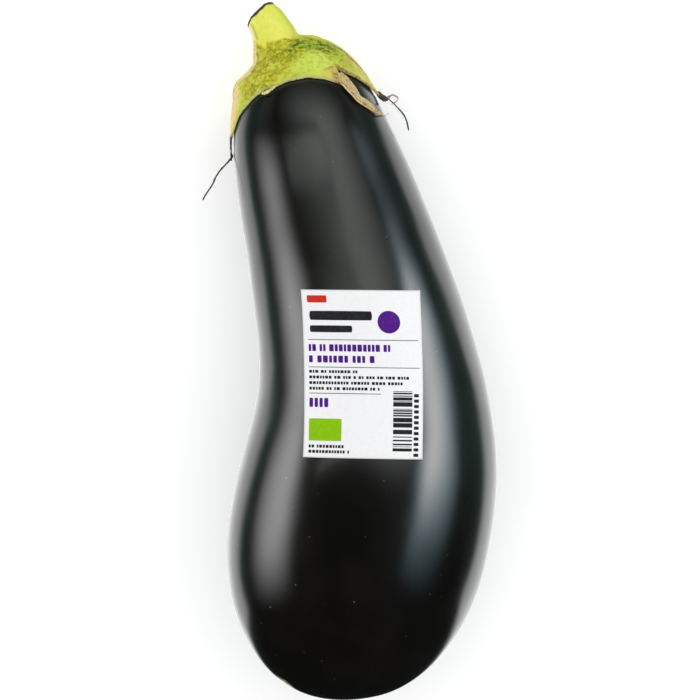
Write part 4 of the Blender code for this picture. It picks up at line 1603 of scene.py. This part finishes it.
@dataclass
class DriedEnds:
    """The calyx's dried ends: a rolled strip, a flake, a folded tip, a curl and two threads."""

    workshop: Workshop
    skin: Skin
    papery: DriedSepal = DriedSepal("dried papery sepal")
    rolled: DriedSepal = DriedSepal("rolled sepal edge", "#d9bf92", "#8c6a40", "#d9cf8c")
    black: DriedSepal = DriedSepal("blackened sepal tip", "#33291f", "#17120e", "#4a3b2b")
    pink: DriedSepal = DriedSepal("pinkish dried sepal", "#d6b8a8", "#8a6455", "#c7a08c", 0.7)
    dark: DriedSepal = DriedSepal("dark dried thread", "#3d3028", "#1d1714", "#54443a", 0.7)
    torn: DriedSepal = DriedSepal("torn yellow sepal", "#dcd678", "#a08c46", "#e8e39a", 0.6)
    thread_width: float = 0.22
    bead_steps: int = 12
    rounded_rows: float = 5.0  # how many rows at each end round it off
    aim_rounds: int = 4

    def on_skin(self, *spots: tuple[float, float, float, float, float]) -> list[Bead]:
        """Place beads on the skin.

        Args:
            spots: Turn, reach, lift, half width and half thickness of each.

        Returns:
            The beads.
        """
        beads = []
        for turn, reach, lift, width, thickness in spots:
            point = self.skin.lifted(np.radians([turn]), np.array([[reach]]), np.array([[lift]]))[0, 0] / MM
            beads.append(Bead(*point, width, thickness))
        return beads

    def seen_at(self, *spots: tuple[float, float, float, float, float]) -> list[Bead]:
        """Place beads above the upper skin, where the camera sees them.

        Args:
            spots: x, y, lift, half width and half thickness of each, in mm.

        Returns:
            The beads.
        """
        beads = []
        for x, y, lift, width, thickness in spots:
            wanted = np.array((x, y)) * MM
            aim = wanted.copy()
            for _ in range(self.aim_rounds):
                turn, along = self.skin.below(aim[:1], aim[1:])
                point = (self.skin.point(turn, along) + self.skin.normal(turn, along) * lift * MM)[0]
                aim += wanted - point[:2]
            beads.append(Bead(*(point / MM), width, thickness))
        return beads

    def thread(self, *spots: tuple[float, float, float], width: float = 1.0) -> list[Bead]:
        """Beads of a thin thread through these places, its width a multiple of the usual one."""
        return [Bead(*spot, width * self.thread_width, width * self.thread_width) for spot in spots]

    def strands(self) -> dict[str, tuple[list[Bead], DriedSepal, int]]:
        """Route the strands.

        Returns:
            Each strand's beads, finish and number of sides, by name.
        """
        strip = self.seen_at(
            (-3.6, 69.2, 0.9, 0.8, 0.3), (-1.9, 67.9, 1.1, 1.2, 0.45), (-0.1, 66.0, 1.15, 1.05, 0.5),
            (1.4, 64.1, 1.1, 0.85, 0.5), (2.4, 62.6, 1.0, 0.62, 0.42), (3.9, 61.8, 0.95, 0.68, 0.42),
            (5.4, 60.6, 0.95, 0.5, 0.36), (6.6, 59.6, 0.9, 0.38, 0.3), (7.7, 58.9, 0.8, 0.26, 0.24),
        ) + [Bead(8.75, 58.65, 25.2, 0.2, 0.2), Bead(9.35, 58.95, 24.0, 0.16, 0.16),
             Bead(9.9, 59.5, 23.4, 0.1, 0.1)]
        upper_roll = self.seen_at(
            (-2.3, 69.4, 1.3, 0.2, 0.2), (-0.9, 68.2, 1.45, 0.24, 0.24), (0.55, 66.6, 1.5, 0.24, 0.22),
            (1.75, 64.9, 1.4, 0.2, 0.2), (2.75, 63.2, 1.3, 0.2, 0.2), (4.1, 62.4, 1.2, 0.2, 0.18),
            (5.8, 61.0, 1.1, 0.16, 0.15), (6.9, 59.9, 1.0, 0.12, 0.12))
        lower_roll = self.seen_at(
            (-2.6, 67.2, 1.1, 0.2, 0.2), (-1.0, 65.4, 1.15, 0.24, 0.22), (0.7, 63.6, 1.1, 0.22, 0.2),
            (1.95, 62.2, 1.05, 0.2, 0.2), (3.5, 61.1, 1.0, 0.2, 0.18), (5.1, 60.1, 0.95, 0.14, 0.14),
            (6.3, 59.3, 0.9, 0.1, 0.1))
        flake = self.seen_at((-21.9, 64.0, 0.9, 0.2, 0.15), (-21.3, 64.0, 1.0, 0.42, 0.25),
                             (-20.5, 64.3, 1.0, 0.46, 0.25), (-19.7, 64.9, 0.9, 0.3, 0.2))
        shred = self.seen_at((-20.2, 64.5, 0.9, 0.2, 0.16), (-19.4, 65.0, 1.0, 0.34, 0.22),
                             (-18.6, 65.6, 1.0, 0.32, 0.22), (-17.7, 66.3, 0.9, 0.14, 0.14))
        tip = [Bead(6.9, 64.5, 22.2, 0.5, 0.4), Bead(7.6, 63.9, 22.0, 0.85, 0.6),
               Bead(8.4, 63.2, 21.6, 1.0, 0.65), Bead(9.2, 62.9, 21.2, 0.75, 0.55),
               Bead(9.9, 62.8, 21.0, 0.35, 0.3)]
        curl = [*self.thread((9.2, 62.9, 20.9), (9.8, 63.3, 21.0), width=1.9),
                *self.thread((10.5, 63.8, 21.2), (11.2, 63.9, 21.5), (11.9, 63.5, 21.6), width=1.1),
                *self.thread((12.15, 62.9, 21.5), (11.8, 62.3, 21.3), (11.2, 61.9, 21.0), (10.5, 61.5, 20.7),
                             width=0.75)]
        right = [*self.thread((9.4, 63.1, 20.9), (10.2, 62.6, 20.8), (11.0, 61.9, 20.7), (12.0, 60.9, 20.4),
                              width=0.8),
                 *self.thread((12.9, 59.9, 20.1), (13.8, 58.7, 19.8), (14.4, 57.4, 19.4), (14.7, 56.1, 19.1)),
                 *self.thread((14.9, 54.9, 18.8), width=0.7)]
        root = self.on_skin((172, 24.5, 0.6, 0.3, 0.25), (176, 27.2, 0.6, 0.34, 0.28),
                            (179, 29.6, 0.6, 0.2, 0.2), (180, 31.6, 0.7, 0.2, 0.2))
        left = root + [*self.thread((-29.5, 49.2, 20.4)), Bead(-29.5, 48.3, 20.3, 0.34, 0.32),
                       Bead(-30.1, 47.5, 20.1, 0.26, 0.26),
                       *self.thread((-31.1, 46.4, 19.9), (-32.3, 45.1, 19.6), (-33.3, 43.7, 19.4),
                                    (-33.9, 42.4, 19.2), (-34.5, 41.2, 19.0), (-35.4, 39.9, 18.7),
                                    (-36.2, 38.7, 18.4), (-36.8, 37.5, 18.2))]
        return {
            "strip": (strip, self.papery, 28),
            "strip_upper_roll": (upper_roll, self.rolled, 14),
            "strip_lower_roll": (lower_roll, self.rolled, 14),
            "flake": (flake, self.torn, 18),
            "shred": (shred, self.rolled, 14),
            "black_tip": (tip, self.black, 20),
            "curl": (curl, self.pink, 10),
            "right_thread": (right, self.dark, 10),
            "left_thread": (left, self.dark, 10),
        }

    def build(self) -> None:
        """Build the strands and hand them over."""
        finishes = {}
        for name, (beads, finish, sides) in self.strands().items():
            if finish not in finishes:
                finishes[finish] = finish.make()
            hand_over(self.strand("calyx_" + name, beads, finishes[finish], sides), "calyx")

    def strand(self, name: str, beads: list[Bead], material: Material, sides: int) -> Object:
        """Build a crumpled strand with oval sections that lies flat against the neck.

        Args:
            name: The piece's name.
            beads: Its route.
            material: Its material.
            sides: How many sides its sections have.

        Returns:
            The finished piece.
        """
        rows = through(beads, self.bead_steps)
        centres = rows[:, :3] * MM
        ahead = np.gradient(centres, axis=0)
        ahead /= np.linalg.norm(ahead, axis=1, keepdims=True)
        across = np.cross(ahead, centres - Skin.SECTIONS[-2].centre())
        across /= np.linalg.norm(across, axis=1, keepdims=True)
        rise = np.cross(across, ahead)
        from_end = np.minimum(np.arange(len(rows)), np.arange(len(rows))[::-1])
        ends = np.minimum(1.0, from_end / self.rounded_rows) ** 0.5
        half_width, half_thick = rows[:, 3] * ends * MM, rows[:, 4] * ends * MM
        widest = float(np.max(rows[:, 3]))
        crumpled = Relief(0.5 * widest, 1.1 * widest + 0.3, (1.0, 1.0, 1.0), 2.0, 0.4, 2.0)
        axes = across * half_width[:, None], rise * half_thick[:, None]
        return self.workshop.lofted(name, centres, *axes, sides, material, (crumpled,))


class Mark(NamedTuple):
    """A printed mark: its middle on the sheet, its size, and how round it is, from 0 to 1."""

    x: float
    y: float
    width: float
    height: float
    roundness: float = 0.0


@dataclass
class Label:
    """The paper label: a thin sheet stuck on the fruit, and plain marks printed on it."""

    workshop: Workshop
    skin: Skin
    finish: CoatedPaper = CoatedPaper("coated white label paper")
    # Lower left, lower right, upper right and upper left, as x and y seen from above, in mm
    corners: tuple[tuple[float, float], ...] = (
        (-11.25, -26.5), (17.9, -27.05), (17.32, 14.65), (-11.84, 14.95))
    size: tuple[float, float] = (29.2, 41.6)
    bow: float = 0.5
    thickness: float = 0.13
    lift: float = 0.05
    corner_lift: float = 0.22
    side_lift: float = 0.05
    columns: int = 60
    rows: int = 84
    cut_edge: float = 0.3
    sharp_from: float = 40.0  # degrees from which an edge is sharp
    ink_lift: float = 0.02
    wide_mark: float = 4.0
    large_cells: tuple[int, int] = (25, 9)  # vertices across and up a mark, where an ink has wide ones
    small_cells: tuple[int, int] = (4, 3)
    seed: int = 11

    def sheet(self) -> Object:
        """Lay the bare sheet on the skin.

        Returns:
            The sheet, with its own coordinates from 0 to 1.
        """
        shares = (np.linspace(0.0, 1.0, count + 1) for count in (self.columns, self.rows))
        share_x, share_y = np.meshgrid(*shares)
        low_left, low_right, high_right, high_left = (np.array(corner) for corner in self.corners)
        left = low_left + (high_left - low_left) * share_y[..., None]
        right = low_right + (high_right - low_right) * share_y[..., None]
        plan = (left + (right - left) * share_x[..., None]) * MM
        plan[..., 0] += self.bow * 4.0 * share_y * (1.0 - share_y) * MM
        turn, along = self.skin.below(plan[..., 0], plan[..., 1])
        near_side = np.abs(2.0 * share_x - 1.0) ** 6
        near_end = np.abs(2.0 * share_y - 1.0) ** 8
        lift = self.lift + self.corner_lift * near_side * near_end + self.side_lift * near_side
        points = self.skin.point(turn, along) + self.skin.normal(turn, along) * lift[..., None] * MM
        index = np.arange(points[..., 0].size).reshape(points.shape[:2])
        faces = np.stack((index[:-1, :-1], index[:-1, 1:], index[1:, 1:], index[1:, :-1]), axis=-1)
        faces = faces.reshape(-1, 4)
        mesh = bpy.data.meshes.new("label_sheet")
        mesh.from_pydata(points.reshape(-1, 3).tolist(), [], faces.tolist())
        spots = np.stack((share_x.ravel(), share_y.ravel()), axis=-1)
        mesh.uv_layers.new(name="sheet").data.foreach_set("uv", spots[faces.ravel()].ravel())
        aside = np.minimum(share_x, 1.0 - share_x) * self.size[0]
        endwise = np.minimum(share_y, 1.0 - share_y) * self.size[1]
        # A grey band along the cut edge: painted shade at the sheet's edge
        paint(mesh, {"edge": smooth(self.cut_edge, 0.0, np.minimum(aside, endwise)).ravel()})
        mesh.shade_smooth()
        return link("label_sheet", mesh)

    def build(self) -> None:
        """Build the label and its print and hand them over."""
        sheet = self.sheet()
        top = self.printed_side(sheet)
        for ink, marks in self.marks().items():
            self.print_ink(top, ink, marks)
        bpy.data.objects.remove(top)
        paper = sheet.modifiers.new("paper thickness", "SOLIDIFY")
        paper.thickness = self.thickness * MM
        paper.offset = 1.0
        paper.use_even_offset = True
        piece = facing_out(settled("label_paper", sheet))
        piece.data.materials.clear()
        piece.data.materials.append(self.finish.make())
        piece.data.set_sharp_from_angle(angle=math.radians(self.sharp_from))
        hand_over(piece, "label", "label")

    def printed_side(self, sheet: Object) -> Object:
        """Copy the sheet and raise it to the side that carries the print.

        Args:
            sheet: The bare sheet.

        Returns:
            The copy.
        """
        mesh = sheet.data.copy()
        raised = places(mesh)
        turn, along = self.skin.below(raised[:, 0], raised[:, 1])
        raised += self.skin.normal(turn, along) * (self.thickness + self.ink_lift) * MM
        mesh.vertices.foreach_set("co", raised.ravel())
        return link("label_top", mesh)

    def print_ink(self, top: Object, ink: Ink, marks: list[Mark]) -> None:
        """Print one ink's marks on the sheet and hand them over.

        Args:
            top: The side of the sheet that carries the print.
            ink: The ink.
            marks: What it prints.
        """
        rows = np.array(marks)
        spots = np.column_stack((rows[:, 0], rows[:, 1], np.zeros(len(rows)))) * MM
        half = np.column_stack((rows[:, 2], rows[:, 3], np.zeros(len(rows)))) * 0.5 * MM
        guides = self.workshop.guides("marks", spots, {"half": half, "roundness": rows[:, 4]})
        widest = max(mark.width for mark in marks)
        across, up = self.large_cells if widest > self.wide_mark else self.small_cells
        values = {"Sheet": top, "Sheet Size": (self.size[0] * MM, self.size[1] * MM, 1.0),
                  "Cells Across": across, "Cells Up": up, "Material": ink.value.make()}
        piece = self.workshop.run("label_ink_" + ink.name.lower(), guides, [(self.workshop.marks, values)])
        hand_over(piece, "label")

    def marks(self) -> dict[Ink, list[Mark]]:
        """Set out the print.

        Returns:
            The marks by ink, in mm from the label's lower left corner.
        """
        draw = np.random.default_rng(self.seed)
        purple = [Mark(21.2, 33.7, 5.6, 5.6, 1.0)]
        purple += self.dashes(draw, 1.25, 27.2, 19.6, (0.55, 1.15), 1.75)
        purple += self.dashes(draw, 1.25, 24.4, 15.2, (0.7, 1.25), 1.75)
        purple += self.dashes(draw, 1.25, 13.6, 5.6, (0.8, 1.2), 2.3)
        grey = [Mark(14.7, 29.2, 27.0, 0.2), Mark(14.8, 22.4, 27.2, 0.2), Mark(10.0, 15.9, 17.6, 0.2)]
        small = [mark for y, width in ((21.3, 11.6), (19.9, 24.0), (18.5, 23.4), (17.1, 17.2))
                 for mark in self.dashes(draw, 1.25, y, width, (0.4, 0.8), 0.72)]
        small += [mark for y, width in ((2.8, 9.0), (1.5, 10.0))
                  for mark in self.dashes(draw, 1.25, y, width, (0.4, 0.75), 0.75)]
        dark = [Mark(9.4, 35.2, 15.4, 2.3, 0.12), Mark(6.9, 31.9, 10.4, 1.7, 0.12)]
        return {
            Ink.PURPLE: purple,
            Ink.GREY: grey,
            Ink.DARK: dark + self.bars(draw) + small,
            Ink.GREEN: [Mark(5.2, 6.9, 8.0, 5.5, 0.04)],
            Ink.RED: [Mark(3.7, 39.3, 4.8, 1.8, 0.12)],
        }

    @staticmethod
    def dashes(draw: np.random.Generator, x: float, y: float, width: float, lengths: tuple[float, float],
               height: float) -> list[Mark]:
        """A row of short dashes in words, from x to the right.

        Args:
            draw: Gives the lengths and gaps.
            x: Where the row starts.
            y: The row's middle.
            width: How far it runs.
            lengths: The least and greatest length of a dash.
            height: The dashes' height.

        Returns:
            The dashes.
        """
        marks, at = [], x
        letter_gap, word_gap, word_ends = 0.45, 1.6, 0.16  # gaps in least lengths, and a word-end chance
        while at < x + width:
            length = draw.uniform(*lengths)
            marks.append(Mark(at + length / 2.0, y, length, height, 0.25))
            at += length + lengths[0] * (letter_gap if draw.random() > word_ends else word_gap)
        return marks

    @staticmethod
    def bars(draw: np.random.Generator) -> list[Mark]:
        """Stack plain bars, with a column of small dashes beside them.

        Args:
            draw: Gives the bars' thicknesses and gaps.

        Returns:
            The bars and dashes.
        """
        marks, y = [], 1.9
        while y < 16.8:
            thick = draw.choice((0.15, 0.25, 0.4, 0.75, 1.1))
            marks.append(Mark(24.2, y + thick / 2.0, 4.7, thick))
            y += thick + draw.choice((0.14, 0.2, 0.3, 0.55))
        marks += [Mark(27.55, 1.0 + 1.33 * i, 1.2, 0.8, 0.3) for i in range(12)]
        return marks


# The studio


@dataclass(frozen=True)
class Softbox:
    """A glowing rectangle that faces the object, and that only glossy things show.

    Its place is a direction: degrees round from +X towards +Y, and degrees above the table.
    """

    name: str
    round_it: float
    above: float
    distance: float
    width: float
    height: float
    cloth: Diffuser
    edges: tuple[tuple[float, float], tuple[float, float]]
    weak_end: tuple[float, float] = (0.0, 0.0)
    roll: float = 0.0  # degrees about the line to the object
    target: tuple[float, float, float] = (0.0, 0.0, 0.03)

    def build(self) -> None:
        """Add the light."""
        half = (self.width / 2.0, self.height / 2.0)
        corners = [(x * half[0], y * half[1], 0.0) for x, y in ((-1, -1), (1, -1), (1, 1), (-1, 1))]
        mesh = bpy.data.meshes.new(self.name)
        mesh.from_pydata(corners, [], [(3, 2, 1, 0)])
        mesh.materials.append(self.cloth.dress(half, self.edges, self.weak_end))
        light = link(self.name, mesh)
        azimuth, elevation = math.radians(self.round_it), math.radians(self.above)
        level = math.cos(elevation)
        towards = Vector((math.cos(azimuth) * level, math.sin(azimuth) * level, math.sin(elevation)))
        light.location = Vector(self.target) + towards * self.distance
        facing = towards.to_track_quat("Z", "Y") @ Quaternion((0.0, 0.0, 1.0), math.radians(self.roll))
        light.rotation_euler = facing.to_euler()
        light.visible_camera = False
        light.visible_shadow = False
        light.visible_diffuse = False


@dataclass
class Studio:
    """The table, the lights, the dim room and the camera that looks straight down."""

    table: LightTable = LightTable("white light table")
    table_size: float = 6.0
    table_level: float = -0.02 * MM
    camera_height: float = 2.5
    # 700 pixels of the photograph are 175 mm at the height of the fruit's widest part
    framed_width: float = 175.0 * MM
    framed_height: float = 27.0 * MM
    camera_x: float = 0.175 * MM
    dark: str = "#050605"
    wall: str = "#95a29d"
    wall_top: tuple[float, float] = (0.6, 0.1)  # heights of view where the wall has gone and is whole
    wall_side: tuple[float, float] = (-0.1, 0.5)  # the same, from the near side to the far one
    backdrop: str = "#e3e5e6"
    overhead: tuple[float, float, float] = (0.25, 0.30, 0.92)  # where the soft light is strongest
    overhead_light: tuple[float, float] = (0.92, 1.12)  # its radiance across from there, and there
    boxes: tuple[Softbox, ...] = (
        Softbox("left_softbox", 185.24, 17.4, 0.12, 0.174, 0.12,
                Diffuser("left softbox cloth", "#ffffff", "#e8ede9", 7.7, 0.63),
                ((0.042, 0.073), (0.066, 0.048)),
                (0.32, -1.04), -0.3),
        Softbox("right_softbox", 5.3, 25.1, 0.16, 0.2975, 0.141,
                Diffuser("right softbox cloth", "#ffffff", "#90bfcd", 11.6, 0.88),
                ((0.135, 0.084), (0.098, 0.043)),
                (0.0, -1.0), -19.0),
        Softbox("strip_softbox", 128.6, 56.3, 0.423, 0.396, 0.0996,
                Diffuser("strip softbox cloth", "#f6faf5", "#e2f0e7", 7.6, 0.02),
                ((0.005, 0.014), (0.0995, 0.031)),
                (0.28, -1.2), -25.0),
        Softbox("far_softbox", 83.0, 42.2, 0.484, 1.325, 0.781,
                Diffuser("far softbox cloth", "#f6faf5", "#e2f0e7", 5.5, 0.02),
                ((0.642, 0.866), (0.542, 0.399)),
                (0.97, -1.0), -16.8),
    )

    def build(self) -> None:
        """Set everything up."""
        for box in self.boxes:
            box.build()
        self.lay_table()
        self.dim_room()
        self.set_camera()
        scene = bpy.context.scene
        scene.view_settings.view_transform = "Standard"
        LOG.info("studio: %d lights", len(self.boxes))

    def lay_table(self) -> None:
        """Lay the table just below the object."""
        half, level = self.table_size / 2.0, self.table_level
        corners = [(-half, -half, level), (half, -half, level), (half, half, level), (-half, half, level)]
        mesh = bpy.data.meshes.new("table")
        mesh.from_pydata(corners, [], [(0, 1, 2, 3)])
        mesh.materials.append(self.table.make())
        link("table", mesh)

    def dim_room(self) -> None:
        """Fill the room with soft light from above, which glossy things see as a dim room, dark overhead."""
        world = bpy.data.worlds.new("dim studio")
        bpy.context.scene.world = world
        world.use_nodes = True
        tree = world.node_tree
        paths = add_node(tree, "ShaderNodeLightPath")
        towards = add_node(tree, "ShaderNodeTexCoord")["Generated"]
        _, onward, up = add_node(tree, "ShaderNodeSeparateXYZ", {0: towards})
        low = {"Value": up, "From Min": self.wall_top[0], "From Max": self.wall_top[1]}
        wall = add_node(tree, "ShaderNodeMapRange", low, interpolation_type="SMOOTHSTEP")[0]
        side = {"Value": onward, "From Min": self.wall_side[0], "From Max": self.wall_side[1]}
        far = add_node(tree, "ShaderNodeMapRange", side, interpolation_type="SMOOTHSTEP")[0]
        walled = add_node(tree, "ShaderNodeMath", {0: wall, 1: far}, operation="MULTIPLY")[0]
        values = {0: walled, 6: linear(self.dark), 7: linear(self.wall)}
        room = add_node(tree, "ShaderNodeMix", values, data_type="RGBA")[2]
        values = {0: towards, 1: self.overhead}
        along = add_node(tree, "ShaderNodeVectorMath", values, operation="DOT_PRODUCT")["Value"]
        fall = {"Value": along, "To Min": self.overhead_light[0], "To Max": self.overhead_light[1]}
        soft = add_node(tree, "ShaderNodeMapRange", fall)[0]
        values = {0: paths["Is Glossy Ray"], 6: soft, 7: room}
        lit = add_node(tree, "ShaderNodeMix", values, data_type="RGBA")[2]
        values = {0: paths["Is Camera Ray"], 6: lit, 7: linear(self.backdrop)}
        shown = add_node(tree, "ShaderNodeMix", values, data_type="RGBA")[2]
        background = tree.nodes["Background"]
        tree.links.new(shown, background.inputs["Color"])
        background.inputs["Strength"].default_value = 1.0

    def set_camera(self) -> None:
        """Hang the camera over the object, with the stem's end up in the picture."""
        data = bpy.data.cameras.new("camera")
        data.sensor_width = 36.0
        data.lens = data.sensor_width * (self.camera_height - self.framed_height) / self.framed_width
        data.clip_start, data.clip_end = 0.1, 20.0
        camera = bpy.data.objects.new("camera", data)
        camera.location = (self.camera_x, 0.0, self.camera_height)
        bpy.context.scene.collection.objects.link(camera)
        bpy.context.scene.camera = camera


def main() -> None:
    """Build the aubergine piece by piece, and then its studio."""
    logging.basicConfig(level=logging.INFO, format="%(name)s %(message)s")
    workshop, skin = Workshop(), Skin()
    stem = Stem(workshop)
    calyx = Calyx(workshop, skin, stem)
    Fruit(workshop, skin, calyx).build()
    calyx.build()
    stem.build()
    DriedEnds(workshop, skin).build()
    Label(workshop, skin).build()
    Studio().build()


if __name__ == "__main__":
    main()
